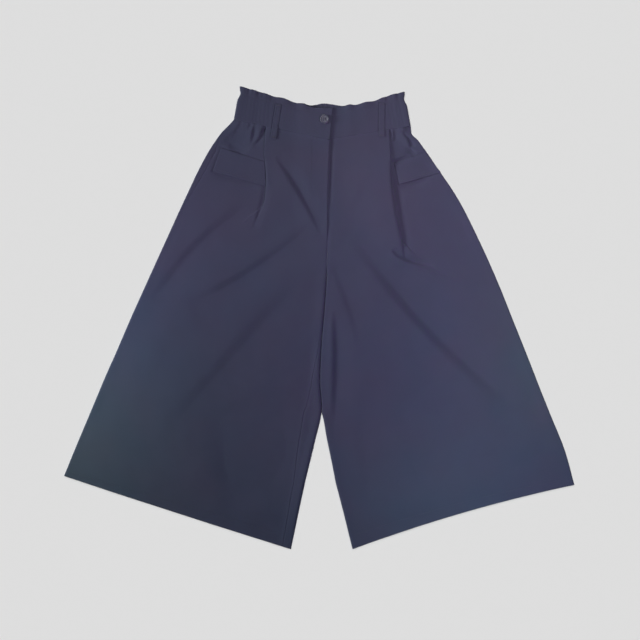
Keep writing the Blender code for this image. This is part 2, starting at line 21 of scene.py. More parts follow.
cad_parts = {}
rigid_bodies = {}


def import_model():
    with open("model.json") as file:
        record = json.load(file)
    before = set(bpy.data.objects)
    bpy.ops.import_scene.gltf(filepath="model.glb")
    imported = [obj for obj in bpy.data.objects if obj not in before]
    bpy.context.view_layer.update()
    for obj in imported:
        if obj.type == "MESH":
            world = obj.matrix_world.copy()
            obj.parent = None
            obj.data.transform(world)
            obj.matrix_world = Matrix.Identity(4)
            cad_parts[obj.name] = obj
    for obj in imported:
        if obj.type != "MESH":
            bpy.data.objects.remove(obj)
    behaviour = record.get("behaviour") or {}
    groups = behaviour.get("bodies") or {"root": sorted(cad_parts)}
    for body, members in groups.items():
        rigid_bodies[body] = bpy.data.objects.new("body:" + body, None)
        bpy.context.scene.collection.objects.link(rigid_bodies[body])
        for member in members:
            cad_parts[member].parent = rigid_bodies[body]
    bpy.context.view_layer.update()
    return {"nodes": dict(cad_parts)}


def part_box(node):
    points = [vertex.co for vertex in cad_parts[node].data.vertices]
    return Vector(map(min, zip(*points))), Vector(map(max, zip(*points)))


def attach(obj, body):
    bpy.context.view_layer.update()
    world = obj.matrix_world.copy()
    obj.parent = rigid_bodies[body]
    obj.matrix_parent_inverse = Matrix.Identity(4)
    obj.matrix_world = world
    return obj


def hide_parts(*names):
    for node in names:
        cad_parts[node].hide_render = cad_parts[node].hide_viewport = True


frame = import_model()

MM = 0.001
TURN = 2 * math.pi
BODY = "root"

# ---- sizes: cloth and layers

WALL = 1.1                    # leg cloth
SOFT_EDGE = 0.2               # how far a cut edge is rounded
BAND_WALL = 2.4               # casing: two layers of cloth round the elastic
SEAM_HALF = 0.09              # from a seam's line to either piece
TOUCH = 0.03                  # from the line between the legs to either leg
BACK_Z = WALL / 2             # middle of the back's wall, flat on the surface
FRONT_Z = 4.4                 # middle of the front's wall along its edges
LEG_LOFT = 1.4                # how much higher a front lies between its edges
LOFT_EDGE = (5.0, 75.0)       # distances from an edge between which it rises
LOFT_WAIST = (0.0, 0.06)      # down: it rises below the waist seam
LOFT_HEM = (1.0, 0.92)        # and sinks to the hem
LOWEST_FRONT_Z = 2.4          # a crease never sinks onto the back
EDGE_RADIUS = (FRONT_Z - BACK_Z) / 2
MID_EDGE = EDGE_RADIUS * math.pi / 2

# ---- sizes: legs

LEG_LENGTH = 745.0            # along a leg's middle, from the waist seam to the hem
LEG_ROWS = 280
ROW_CROWDING = 1.25           # above 1, rows lie closer at the waist
HEM_DEPTH = 20.0              # of the turned-up hem
HEM_ROWS = (0.0, 0.5, 1.2, 18.2, 19.2, 19.8, 20.4, 21.4)     # extra rows, up from the hem
EDGE_STEPS = np.array([0.0, 0.3, 0.7, 1.2, 1.9, 2.9, 4.4])   # a front's columns at a seam
EDGE_COLUMNS = 26             # a back's columns from a seam round to the floor
EDGE_CROWDING = 0.6           # below 1, they lie closer where it turns
BACK_COLUMNS = 70             # and between its edges
ON_TOP = (4.2, -0.5)          # distances past an edge's turn: a wall takes the front's relief
CROTCH = (0.312, 0.355)       # down: below it each leg is a tube of its own

DOWN = np.unique(np.concatenate([
    np.linspace(0.0, 1.0, LEG_ROWS) ** ROW_CROWDING, 1 - np.array(HEM_ROWS) / LEG_LENGTH]))
HEM_UP = (1 - DOWN[:, None]) * LEG_LENGTH   # each row's distance up from the hem

# The right leg's inner edge, the gap across to the left leg's, and both outer edges
Section = namedtuple("Section", "down inner_x inner_y parting right_x right_y left_x left_y")
SECTIONS = [
    Section(0.000, 15, 321, 0, -154, 357, 165, 345),
    Section(0.015, 15, 311, 0, -163, 347, 167, 331),
    Section(0.030, 15, 300, 0, -174, 336, 176, 322),
    Section(0.060, 15, 279, 0, -191, 313, 189, 305),
    Section(0.120, 14, 234, 0, -213, 275, 211, 273),
    Section(0.200, 14, 176, 0, -239, 221, 246, 221),
    Section(0.320, 14.3, 93, 0, -277, 138, 286, 144),
    Section(0.430, 9, 14, 0, -311, 63, 322, 64),
    Section(0.530, 3.2, -58, 0, -342, -6, 352, -11),
    Section(0.610, 1.2, -117, 0, -366, -62, 378, -76),
    Section(0.680, 4, -170, 0, -386, -107, 399, -130),
    Section(0.750, -7, -220, 21, -409, -162, 417, -175),
    Section(0.860, -26, -299, 56, -438, -231, 441, -234),
    Section(1.000, -51, -417, 111, -460, -285, 460, -301),
]
INNER_ROLL = {"right": 0.9, "left": 0.0}  # how high each inner edge rolls up below the crotch
ROLL_PLACE = 5.0              # how far in from the edge
ROLL_WIDTHS = (3.0, 9.0)      # towards the edge and away from it
HEM_BOW = {"right": -1.0, "left": 8.0}     # how far the hem's middle lies above a straight line
BOW_STARTS = (0.7, 1.0)       # down

# Where the seams lie: distance in from the edge on top, below zero round the edge
Seam = namedtuple("Seam", "down side inseam")
SEAMS = {
    "right": [
        Seam(0.00, -MID_EDGE, -MID_EDGE), Seam(0.04, 0, -MID_EDGE), Seam(0.08, 9, -MID_EDGE),
        Seam(0.14, 9, -MID_EDGE), Seam(0.20, 4, -MID_EDGE), Seam(0.30, -MID_EDGE, -MID_EDGE),
        Seam(0.40, -MID_EDGE, -MID_EDGE), Seam(0.54, -MID_EDGE, 4), Seam(0.62, -MID_EDGE, 14),
        Seam(0.69, -MID_EDGE, 30), Seam(0.78, -MID_EDGE, 25), Seam(0.86, -MID_EDGE, 18),
        Seam(1.00, -MID_EDGE, 14),
    ],
    "left": [Seam(0.0, -MID_EDGE, -MID_EDGE), Seam(1.0, -MID_EDGE, -MID_EDGE)],
}

# ---- sizes: fly and pleats

FLY_END = 0.20
FLY_LAP = 3.5                 # right front beyond the centre seam
FLY_UNDERLAP = 16.0           # left front under it
FLY_LIFT = 1.9
FLY_ACROSS = (66.0, 26.0)     # distances in between which the lap rises to its full height
FLY_DOWN = (0.26, 0.20)       # and how far down the leg it does
FLY_STITCH = 33.0             # the curved stitching's distance from the lap's edge

PLEAT_STEPS = {"right": 1.3, "left": 2.3}  # between the middles of neighbouring layers
PLEAT_SEWN = 1.18             # that step where the pleat is sewn into the waist seam
PLEAT_FREE = (0.03, 0.11)     # down: from pressed to free
PLEAT_DEPTH = 24.0
PLEAT_LEAST = 0.4             # depth at which it starts to open, as a plain step
PLEAT_BULGE = 0.2             # how round that step's corners still are
PLEAT_SETTLE = (-80.0, -4.0)  # from the pleat's back: between these the top layer rises
Fold = namedtuple("Fold", "down edge")
PLEATS = {
    "right": [
        Fold(0.0, 113), Fold(0.05, 115), Fold(0.13, 111.5), Fold(0.18, 114), Fold(0.235, 125.3),
        Fold(0.26, 131), Fold(1.0, 200),
    ],
    "left": [
        Fold(0.0, 112), Fold(0.085, 115.5), Fold(0.165, 121), Fold(0.205, 124.5),
        Fold(0.26, 132.7), Fold(0.34, 143.5), Fold(1.0, 210),
    ],
}
PLEAT_SHALLOWS = {"right": (0.08, 0.22), "left": (0.10, 0.32)}     # down
PLEAT_OPENS = {"right": (0.17, 0.28), "left": (0.27, 0.38)}
WAIST_RISE = 2.6              # up from the front's level to the band's, at the waist seam
WAIST_RISE_LEFT = 1.4         # the left front's at the fly, under the right one's band
WAIST_RISE_FALL = (26.0, 0.0)              # distances below the seam between which it grows
WAIST_RISE_EDGE = (2.0, 16.0)              # and the distances from the side in which it grows
WAIST_RISE_PLEAT = (0.5, 9.0)              # and out from a pleat's edge
MIDDLE_SLANT = 0.12           # share of a layer's step by which the opening middle stands up
TOP_COLUMNS, NOSE_COLUMNS, MIDDLE_COLUMNS, BOTTOM_COLUMNS = 70, 6, 11, 52      # of its layers
TOP_CROWDING = 1.3            # above 1, the top layer's columns lie closer at its inner edge

# ---- sizes: folds

# Creases, each a step down through three points: the cloth falls over the width on the steep
# side, left (1) or right (-1) of the way, and recovers slowly on the other; some swell beside it
Crease = namedtuple("Crease", "start_x start_y mid_x mid_y end_x end_y depth width steep swell",
                    defaults=(-1, 0.0))
CREASES = [
    Crease(-128, 199, -220, 125, -296, 27, 2.3, 10, -1, 0.8),   # pleat's end to the side
    Crease(-10, 168, -125, 80, -234, 24, 2.3, 9, -1, 0.4),
    Crease(-34, 58, -139, -56, -266, -206, 1.8, 15, -1, 0.8),   # crotch to the right hem
    Crease(-76, 291, -33, 224, 6, 151, 2.9, 4.6, -1, 1.0),      # beside the fly
    Crease(-177, -173, -141, -208, -119, -251, 0.8, 10),
    Crease(-178, -158, -160, -256, -144, -350, 2.0, 31, -1, 0.6),    # broad folds at the hem
    Crease(-72, -130, -84, -235, -97, -350, 3.0, 38, 1),
    Crease(66, 148, 197, -13, 349, -152, 3.4, 12, -1, 3.2),     # crotch to the left hem
    Crease(132, 123, 156, 105, 208, 93, 3.2, 2.3, -1, 1.2),     # from a pleat's end
    Crease(150, 104, 205, 88, 262, 66, 1.2, 4.0),
    Crease(27, 93, 55, 28, 77, -47, 1.5, 8.5, -1, 0.7),
    Crease(29.5, 12, 32, -75, 29, -184, 2.5, 5.8, -1, 1.4),     # roll along the inner edge
    Crease(21, 345, 18, 262, 15.5, 196, 1.9, 1.6),              # beside the fly's edge
    Crease(16, 178, 14.5, 132, 12, 80, 0.6, 1.5),               # along the seam below it
    Crease(130.5, 290, 136, 214, 156, 106, 2.8, 3.2),           # beside the pleats'
    Crease(-99, 246, -104, 205, -120, 158, 1.8, 2.6),
    Crease(-195, 261, -152, 250, -108, 239, 1.8, 2.2, 1),       # under the flaps' free edges
    Crease(143, 238, 168, 241, 200, 251, 2.4, 2.6, 1),
    Crease(81, -135, 84, -230, 93, -346, 0.8, 14),
    Crease(84, 253, 74, 212, 52, 176, 0.8, 9),
    Crease(-116, 350, -119, 331, -122, 312, 1.5, 1.9, -1, 1.0), # gathers under the casing
    Crease(-101, 344, -106, 325, -119, 309, 1.7, 1.9, -1, 1.2),
    Crease(-170, 322, -150, 310, -126, 300, 2.0, 6.0, -1, 0.4),
    Crease(-139, 359, -146, 340, -158, 322, 0.9, 4, -1, 0.5),
    Crease(-145, 357, -141, 355, -137, 354, 0.9, 2.2, 1),       # their ends at the seam
    Crease(-127, 349, -123, 347, -119, 345, 1.4, 2.2, 1),
    Crease(-102, 341, -99, 339, -96, 338, 1.2, 2.2, 1),
    Crease(150, 336, 163, 320, 165, 306, 2.6, 2.6, -1, 1.2),
    Crease(165, 307, 168, 300, 177, 296, 2.2, 2.6, 1),
    Crease(127, 337, 128, 331, 128, 323, 1.2, 2.0, -1, 0.3),
    Crease(133, 344, 136, 330, 135, 316, 1.6, 2.2, -1, 0.8),
    Crease(158, 342, 166, 330, 176, 320, 0.6, 4, -1, 0.4),
    Crease(-164, 308, -149, 299, -134, 292, 2.0, 2.6),          # above the flaps
    Crease(-182, 306, -189, 296, -195, 286, 1.0, 2.4, 1),
    Crease(129, 279, 146, 286, 164, 292, 2.6, 2.4, 1),
    Crease(-85, 205, -94, 160, -90, 118, 0.4, 9),               # soft folds on the thighs
    Crease(-150, 60, -190, 10, -245, -46, 0.5, 14),
    Crease(-60, -60, -78, -150, -112, -236, 0.5, 16),
    Crease(-330, -95, -352, -170, -362, -232, 0.5, 16),
    Crease(120, 60, 178, -60, 236, -190, 0.6, 16),
    Crease(250, -60, 318, -150, 352, -236, 0.6, 16),
    Crease(150, -120, 168, -220, 196, -318, 0.6, 16),
    Crease(196, 196, 236, 150, 262, 96, 0.5, 12),
]
# The underside rests flat: its folds are shallow dents up into the gap between the panels
BACK_CREASES = [
    Crease(-20, 300, -90, 220, -190, 150, 0.5, 9, 1),
    Crease(20, 295, 95, 215, 205, 160, 0.5, 9),
    Crease(-20, 60, -110, -60, -230, -170, 0.5, 9, 1),
    Crease(22, 55, 115, -50, 260, -190, 0.5, 9),
    Crease(-70, -90, -96, -210, -120, -330, 0.5, 9, 1),
    Crease(80, -80, 120, -200, 150, -320, 0.5, 9),
]
CREASE_STEPS = 72             # points along a crease's line
CREASE_TAPER = 0.7            # below 1, a crease keeps its depth nearer to its ends
CREASE_EDGE = (4.0, 18.0)     # distances from an edge between which creases grow
CREASE_SLOW = 3.5             # how much wider a crease is on its slow side
SWELL_ASIDE = 1.7             # a swelling's place, in widths of its crease

# Slow unevenness of the cloth: crossing waves of unlike lengths
Ripple = namedtuple("Ripple", "length heading phase height")
RIPPLES = [
    Ripple(173, 22, 0.3, 0.22), Ripple(121, 118, 1.9, 0.18), Ripple(83, 64, 4.0, 0.12),
    Ripple(61, 151, 2.6, 0.08), Ripple(41, 9, 5.2, 0.05), Ripple(29, 97, 0.9, 0.035),
]
RIPPLE_SWERVE = 0.9           # how far a wave's crest swings from a straight line
RIPPLE_SWERVE_PACE = 2.3      # and how quickly along its length

# Small waves along a sewn edge: their pace, and how it drifts along the edge
Pucker = namedtuple("Pucker", "pace swerve drift")
SIDE_PUCKER = Pucker(1.0, 1.0, 37)
INSEAM_PUCKER = Pucker(0.93, 1.3, 43)
PUCKER_LENGTH = 13.0
PUCKER_HEIGHT = 0.12
PUCKER_EDGE = (14.0, 2.0)     # distances in from the edge between which they grow

HEM_STEP = 0.08               # a turned-up hem stands this much higher
HEM_STEP_HALF = 1.0           # and rises over this much to either side of its stitching
HEM_GROOVE = 0.07             # which lies this much lower
GROOVE_WIDTH = 0.9            # of a row of stitching
HEM_ROPE = 0.06               # slanting waves between the stitching and the edge
HEM_ROPE_LENGTH = 9.0
HEM_ROPE_SLANT = 0.6

# ---- sizes: waistband

BAND_FRONT_Z = 6.4
BAND_BACK_Z = BAND_WALL / 2
BAND_RADIUS = (BAND_FRONT_Z - BAND_BACK_Z) / 2
BAND_TURNS = np.radians(np.linspace(0, 77, 12))      # where it turns round the side
BAND_SEAM = 0.16              # clear of the legs' upper edge
NECK = 0.78                   # level of the casing's upper seam, where the frill starts
NECK_HEIGHT = 0.22
NECK_PINCH = 3.5
NECK_FADE = (24.0, 0.0)       # distances from the side between which the pinch grows
SIDE_FADE = 8.0               # waves flatten towards the side over this distance
CASING_FOOT = (0.0, 0.12)     # levels between which the casing's gathers grow
CASING_HEAD = (NECK - 0.02, NECK - 0.14)
CASING_END = (NECK + 0.02, NECK - 0.02)    # and those between which they end
BAND_LEVELS = np.concatenate([
    [0.0, 0.02], np.linspace(0.05, NECK - 0.03, 16), [NECK - 0.012, NECK, NECK + 0.012],
    np.linspace(NECK + 0.03, 0.98, 9), [0.993, 1.0]])
# The right band rises and the left one sinks where they lap: by how much, and between which x
Lap = namedtuple("Lap", "lift across")
FLY_BAND = {
    "waistband_front_right": Lap(1.9, (-45.0, -10.0)),
    "waistband_front_left": Lap(-1.2, (65.0, 30.0)),
}
BandSection = namedtuple("BandSection", "seam_x edge_x edge_y")
BAND_SECTIONS = {
    "waistband_front_right": [
        BandSection(18.5, 24, 377), BandSection(-8, -8, 378), BandSection(-45, -42, 387),
        BandSection(-85, -80, 398), BandSection(-125, -116, 409), BandSection(-154, -143, 416.8),
    ],
    "waistband_front_left": [
        BandSection(-5, -3, 377), BandSection(25, 25, 377), BandSection(60, 57, 382),
        BandSection(100, 95, 389), BandSection(140, 130, 401), BandSection(165, 154, 407),
    ],
    "waistband_back": [
        BandSection(-154, -143, 415), BandSection(-112, -106, 403), BandSection(-60, -58, 391),
        BandSection(-15, -15, 383), BandSection(15, 12, 386), BandSection(45, 43, 382),
        BandSection(100, 95, 387), BandSection(140, 131, 399), BandSection(165, 154, 405),
    ],
}
BAND_COLUMNS = {"waistband_front_right": 140, "waistband_front_left": 130, "waistband_back": 250}

# Frill: a wave a row, its edge rising in the garment's plane and off the surface
Wave = namedtuple("Wave", "x half_width lift rise")
WAVES = [
    Wave(-137, 11, 2.6, 0.6), Wave(-117, 11, 3.4, 0.8), Wave(-97, 12, 2.4, 0.8),
    Wave(-64, 17, 3.2, 2.2), Wave(-29, 13, 3.6, 2.4), Wave(4, 14, 1.2, 0.6),
    Wave(54, 11, 3.4, 2.6), Wave(84, 17, 3.0, 2.0), Wave(113, 11, 2.6, 1.0),
    Wave(133, 10, 3.2, 0.8), Wave(150, 9, 2.4, 0.4),
]
WAVE_LEVELS = (0.0, 0.5, NECK, 1.0)        # shares of the band's height, and the share of a
WAVE_SHARES = (0.06, 0.08, 0.10, 0.62)     # wave's lift at each
FRILL_FALL = 0.6              # how far the frill's edge droops between its waves
BACK_WAVE = 0.6

# Small gathers where the elastic is: none between the belt loops.  Their spacing and height
# swing slowly along the band.
Swing = namedtuple("Swing", "size pace phase")
SPACING_SWINGS = [Swing(1.0, 2.1, 0.7), Swing(0.6, 3.7, 2.0)]
GATHER_SHARE = 0.55           # of the short waves: the rest is the longer ones'
SHARE_SWINGS = [Swing(0.35, 1.7, 1.1)]
GATHER_DRIFT = 31.0
GATHER_LENGTH, GATHER_LONG = 7.4, 12.9     # of the short and the longer waves
GATHER_SWERVE, LONG_SWERVE = 1.4, 1.1      # how far the swinging moves each
LONG_SHIFT = 0.6                           # how much less the longer ones lean
GATHER_HEIGHT = 0.08
GATHER_BELOW = 0.35           # share of that height where the casing's seams hold it
GATHER_SLANT = 1.7            # how far the gathers lean up the casing
GATHER_FRILL = 0.40           # height at the frill's edge
FRILL_GATHER = (0.8, 2.2)     # pace and phase there
FRILL_BETWEEN = 0.3           # share of it that is left between the belt loops
GATHER_FRONT = {"right": (-58.0, -88.0), "left": (98.0, 122.0)}
GATHER_FALL = (34.0, 2.0)     # how far below the waist seam they run out on the legs
NECK_GROOVE = 0.10            # how deep the stitching pulls the casing in
NECK_GROOVE_WIDTH = 0.03
SEAM_DIP = 0.06               # a leg's upper edge rolls down this much
SEAM_ROLL = 1.6               # within this distance
BAND_DIP = 0.6                # share of that dip at the band's edge
BAND_ROLL = 0.03              # and its reach in the band's height
INSEAM_LIFT = 0.36            # a front's edge above the back's, where the inseam lies on top
SIDE_SINK = 0.15              # and under it at the side seam
SEAM_STEP = 6.0
SEAM_ON_TOP = (0.0, 5.0)      # distances in from the edge between which that step grows

# ---- sizes: what lies on top

Flap = namedtuple("Flap", "top_in top_out low_out low_in")
FLAPS = {
    "right": Flap((-98.2, 281), (-177, 306), (-192, 264), (-96.5, 237)),
    "left": Flap((135, 279), (191, 297.5), (219.0, 262), (144, 240)),
}
FLAP_COLUMNS, FLAP_ROWS = 60, 34
FLAP_WALL = 0.9
FLAP_CLEAR = 0.22
FLAP_EDGE_SINK = 0.12         # how far its edges bend down
FLAP_SEWN_ROLL, FLAP_FREE_ROLL = 1.5, 1.2  # and how near to them it does
FLAP_CURL = 1.7               # how far the free edge lifts, and where along it
FLAP_CURLS = {"right": 0.8, "left": 0.25}
FLAP_CURL_REACH = 0.6
FLAP_BED = 0.95               # how far the front lies lower under a flap
FLAP_BED_EDGE = (-3.5, -1.0)  # distances inside a flap's outline between which it sinks
FLAP_STITCH = 5.0             # topstitching, in from the free edges
FLAP_GROOVE = 0.08
FLAP_CREASES = [Crease(190, 296, 200, 280, 205, 262, 0.7, 5, 1, 0.6)]   # one flap's end bends

Loop = namedtuple("Loop", "top foot")
LOOPS = {"right": Loop((-73, 385), (-83, 322)), "left": Loop((113, 387), (112, 325))}
LOOP_WIDTH = 11.0
LOOP_COLUMNS, LOOP_ROWS = 9, 44
LOOP_WALL = 0.8
LOOP_CLEAR = 0.15
LOOP_CROWN = 0.1              # how much higher its middle stands
LOOP_END = 0.05               # share of its length over which an end sinks
LOOP_END_SINK = 0.03
LOOP_EASE = 6                 # smoothing passes
LOOP_BED = 0.85               # how far a loop presses into the band
LOOP_BED_SIDE = (0.9, -0.1)   # distances from its side between which the band sinks
LOOP_BED_TOP = (-3.0, 1.0)    # and from its top end
LOOP_STITCH = 3.6             # rows of stitching, out from the loop's middle
LOOP_TACK = (0.8, 2.4, 3.0)   # bar tack: share of the loop's width, height, place from its end

BUTTON_PLACE = (9.4, 357.0)
BUTTON_HOLE_OFFSET = 1.6
BUTTON_WELL_BELOW = 0.9       # the well's floor under the rim
BUTTON_THREAD_RADIUS = 0.32
BUTTON_THREAD_ASIDE = 0.22    # two threads lie side by side
BUTTON_THREAD_SINKS = -0.8    # into the holes
BUTTON_THREAD_RISES = 0.42    # between them

HIGH_ABOVE = 100.0            # from where the surface below a place is looked for

# Sewing thread
STITCH_LENGTH = 2.5
STITCH_GAP = 0.8
STITCH_AHEAD = 0.5            # how far ahead a stitch looks for its way
THREAD_RADIUS = 0.19
THREAD_SUNK = 0.08
UNDER_GROOVE = 0.22           # on the underside stitches lie in a groove, level with the cloth
TACK_PITCH = 0.55             # between the threads of a bar tack
TACK_PROUD = 0.15
FLY_TACK = (1.6, 6.0)         # width and height
FLY_STITCH_ROWS = (0.004, 0.15)            # down: the straight part of the fly's stitching
FLY_STITCH_FOOT = 0.02        # and how far below the fly's end it meets the seam
FLY_STITCH_KNEE = 18.0        # how far above that foot its curve bends
FLY_CURVE_STEPS = 20
FRONT_ENDS, BACK_ENDS, BAND_ENDS = 8, 14, 6    # columns without stitches at either end
WEAR_AND_HIGHLIGHT = {"leg": 7.0, "flap": 3.0, "band": 3.0, "loop": 2.0}     # reach of an edge's paling: partly wear, partly a painted highlight along the edges
WEAR_AND_HIGHLIGHT_FADE = 1.5

# ---- colours and light

NAVY = (0.045, 0.052, 0.088, 1.0)
NAVY_WARM = (0.053, 0.052, 0.092, 1.0)
NAVY_COOL = (0.040, 0.055, 0.094, 1.0)
THREAD_NAVY = (0.040, 0.042, 0.075, 1.0)
HORN = (0.078, 0.090, 0.135, 1.0)
HORN_DARK = (0.040, 0.046, 0.075, 1.0)
FLOOR_GREY = (0.80, 0.80, 0.80, 1.0)
BACKDROP_GLOW = 0.91


# ---- small maths

def rising(value, stretch):
    """Rises softly from 0 to 1 as value goes from the stretch's start to its end."""
    start, end = stretch
    share = np.clip((value - start) / (end - start), 0.0, 1.0)
    return share * share * (3.0 - 2.0 * share)


def mix(first, second, share):
    return first + (second - first) * share


def hump(offset, half_width):
    """1 in the middle, 0 from half_width outwards."""
    return 0.5 + 0.5 * np.cos(np.pi * np.clip(np.abs(offset) / half_width, 0.0, 1.0))


def bell(offset, width):
    return np.exp(-(offset / width) ** 2)


def down_leg(stretch):
    """Rises down a leg, a value for each row."""
    return rising(DOWN, stretch)[:, None]


def through(rows, key, value, at):
    """A smooth line through one column of a table, read at the key column's values."""
    keys = np.array([getattr(row, key) for row in rows], float)
    values = np.array([getattr(row, value) for row in rows], float)
    if keys[0] > keys[-1]:
        keys, values = keys[::-1], values[::-1]
    slopes = np.gradient(values, keys)
    index = np.clip(np.searchsorted(keys, at, side="right") - 1, 0, len(keys) - 2)
    step = keys[index + 1] - keys[index]
    t = (at - keys[index]) / step
    return (
        values[index] * (2 * t**3 - 3 * t**2 + 1)
        + slopes[index] * step * (t**3 - 2 * t**2 + t)
        + values[index + 1] * (3 * t**2 - 2 * t**3)
        + slopes[index + 1] * step * (t**3 - t**2)
    )


def along_rows(rows, column):
    """A table's column at every row of a leg, straight between the table's rows."""
    return np.interp(DOWN, [row.down for row in rows], [getattr(row, column) for row in rows])


def lengths_along(points, axis):
    """How far each point of a grid lies along its row (axis 1) or column (axis 0)."""
    steps = np.linalg.norm(np.diff(points, axis=axis), axis=-1)
    steps = np.insert(steps, 0, 0.0, axis=axis)
    return np.cumsum(steps, axis=axis)


def plan_points(places):
    return [np.array(place, float) for place in places]


def heading(start, end):
    return (end - start) / np.linalg.norm(end - start)


def leftwards(way):
    return np.array([-way[1], way[0]])


def stack(*parts):
    """Sets grids side by side, column after column."""
    return np.concatenate(parts, axis=1)


def spread(start, end, columns):
    """Even columns from one value to another in every row."""
    return np.linspace(start[:, 0], end[:, 0], columns, axis=1)


def between(left, right, columns):
    """Even columns in the gap between two grids."""
    return mix(left[:, -1:], right[:, :1], np.linspace(0, 1, columns + 2)[1:-1])


# ---- finishes

class Wire:
    """A socket's value in shader maths: the operators add Math nodes."""

    def __init__(self, finish, socket):
        self.finish = finish
        self.socket = socket

    def maths(self, operation, *values):
        return self.finish.node("ShaderNodeMath", {"operation": operation}, dict(enumerate(values)))

    def __add__(self, other):
        return self.maths("ADD", self, other)

    def __radd__(self, other):
        return self.maths("ADD", other, self)

    def __sub__(self, other):
        return self.maths("SUBTRACT", self, other)

    def __rsub__(self, other):
        return self.maths("SUBTRACT", other, self)

    def __mul__(self, other):
        return self.maths("MULTIPLY", self, other)

    def __rmul__(self, other):
        return self.maths("MULTIPLY", other, self)

    def wave(self):
        return self.maths("SINE", self)

    def clamped(self):
        return self.maths("MAXIMUM", self.maths("MINIMUM", self, 1.0), 0.0)


class Finish:
    """A material and its nodes."""

    def __init__(self, name):
        self.material = bpy.data.materials.new(name)
        self.material.use_nodes = True
        self.tree = self.material.node_tree
        self.shader = self.tree.nodes["Principled BSDF"]

    def node(self, kind, settings=None, sockets=None, output=0):
        """Adds a node: its settings first, then its sockets' values or links."""
        made = self.tree.nodes.new(kind)
        for name, value in (settings or {}).items():
            setattr(made, name, value)
        for name, value in (sockets or {}).items():
            self.feed(made.inputs[name], value)
        return Wire(self, made.outputs[output])

    def feed(self, socket, value):
        if isinstance(value, Wire):
            self.tree.links.new(value.socket, socket)
        else:
            socket.default_value = value

    def set(self, **sockets):
        """Sets the shader's sockets, named with underscores for spaces."""
        for name, value in sockets.items():
            self.feed(self.shader.inputs[name.replace("_", " ")], value)

    def place(self):
        return self.node("ShaderNodeTexCoord", output="Object")

    def attribute(self, name, output):
        return self.node("ShaderNodeAttribute", {"attribute_name": name}, output=output)

    def noise(self, vector, scale, detail, roughness):
        return self.node("ShaderNodeTexNoise", sockets={
            "Vector": vector, "Scale": scale, "Detail": detail, "Roughness": roughness})

    def stretched(self, vector, factors):
        return self.node("ShaderNodeVectorMath", {"operation": "MULTIPLY"}, {0: vector, 1: factors})

    def blend(self, share, first, second):
        return self.node("ShaderNodeMix", {"data_type": "RGBA"},
                         {"Factor": share, 6: first, 7: second}, output=2)

    def shade(self, colour, factor):
        """A colour times a number."""
        return self.node("ShaderNodeVectorMath", {"operation": "SCALE"},
                         {0: colour if isinstance(colour, Wire) else colour[:3], "Scale": factor})

    def bump(self, height, distance, strength, normal=None):
        sockets = {"Height": height, "Distance": distance, "Strength": strength}
        if normal is not None:
            sockets["Normal"] = normal
        return self.node("ShaderNodeBump", sockets=sockets)


WEAVE_PITCH = 0.75            # between the twill's lines
WEAVE_DEPTH = 0.05
YARN_LENGTHWAYS = (0.9, 0.12, 1.0)         # yarns are uneven in long streaks, along the cloth
YARN_ACROSS = (0.10, 0.8, 1.0)             # and across it
HORN_STREAKS = (1.0, 3.5, 1.0)


def cloth_finish(name):
    """Matt navy twill: fine slanting lines, uneven yarns, and slightly paler edges, partly wear and
    partly a painted highlight along the edges.
    """
    finish = Finish(name)
    cut = finish.attribute("cut", "Vector")
    place = finish.place()
    across, along = (finish.node("ShaderNodeSeparateXYZ", sockets={0: cut}, output=axis)
                     for axis in ("X", "Y"))
    wear_and_highlight = finish.attribute("wear_and_highlight", "Fac")

    twill = ((across + along) * (TURN / WEAVE_PITCH)).wave()
    yarns = finish.noise(finish.stretched(cut, YARN_LENGTHWAYS), 1.0, 4.0, 0.6)
    fillings = finish.noise(finish.stretched(cut, YARN_ACROSS), 1.0, 4.0, 0.6)
    mottle = finish.noise(place, 38.0, 4.0, 0.55)
    broad = finish.noise(place, 3.4, 2.0, 0.5)
    drift = finish.noise(place, 7.5, 2.0, 0.5)

    warm = finish.blend((broad * 3.0 - 1.0).clamped(), NAVY, NAVY_WARM)
    navy = finish.blend((drift * 3.0 - 1.1).clamped() * 0.6, warm, NAVY_COOL)
    # paler edges: partly wear, partly a painted highlight along the edges
    tone = (0.90 + twill * 0.025 + yarns * 0.07 + fillings * 0.05 + mottle * 0.09 + wear_and_highlight * 0.05)
    threads = finish.bump(twill * 0.5 + yarns * 0.7 + fillings * 0.5, WEAVE_DEPTH * MM, 0.7)
    fuzz = finish.bump(finish.noise(place, 900.0, 3.0, 0.7), 0.08 * MM, 0.5, threads)
    finish.set(Base_Color=finish.shade(navy, tone), Roughness=0.80 + yarns * 0.12,
               Sheen_Weight=0.05, Sheen_Roughness=0.45, Sheen_Tint=(0.62, 0.64, 0.80, 1.0),
               Specular_IOR_Level=0.15, Normal=finish.bump(mottle, 0.5 * MM, 0.45, fuzz))
    return finish.material


def thread_finish():
    finish = Finish("sewing_thread")
    twist = finish.noise(finish.place(), 2600.0, 2.0, 0.6)
    finish.set(Base_Color=finish.shade(finish.blend(twist, THREAD_NAVY, NAVY), 1.05),
               Roughness=0.5 + twist * 0.2, Specular_IOR_Level=0.4, Sheen_Weight=0.1,
               Normal=finish.bump(twist, 0.05 * MM, 0.6))
    return finish.material


def horn_finish():
    """Satin button: cloudy grey-blue with darker streaks."""
    finish = Finish("button_horn")
    place = finish.place()
    cloud = finish.noise(finish.stretched(place, HORN_STREAKS), 160.0, 4.0, 0.6)
    fine = finish.noise(place, 1500.0, 3.0, 0.6)
    finish.set(Base_Color=finish.blend((cloud * 2.4 - 0.8).clamped(), HORN, HORN_DARK),
               Roughness=0.30 + fine * 0.16, Coat_Weight=0.15 + cloud * 0.10,
               Specular_IOR_Level=0.5, Coat_Roughness=0.25,
               Normal=finish.bump(fine, 0.04 * MM, 0.4))
    return finish.material


def floor_finish():
    finish = Finish("studio_floor")
    grain = finish.noise(finish.place(), 60.0, 3.0, 0.6)
    finish.set(Base_Color=finish.shade(FLOOR_GREY, 0.995 + grain * 0.01),
               Roughness=0.95, Specular_IOR_Level=0.0)
    return finish.material


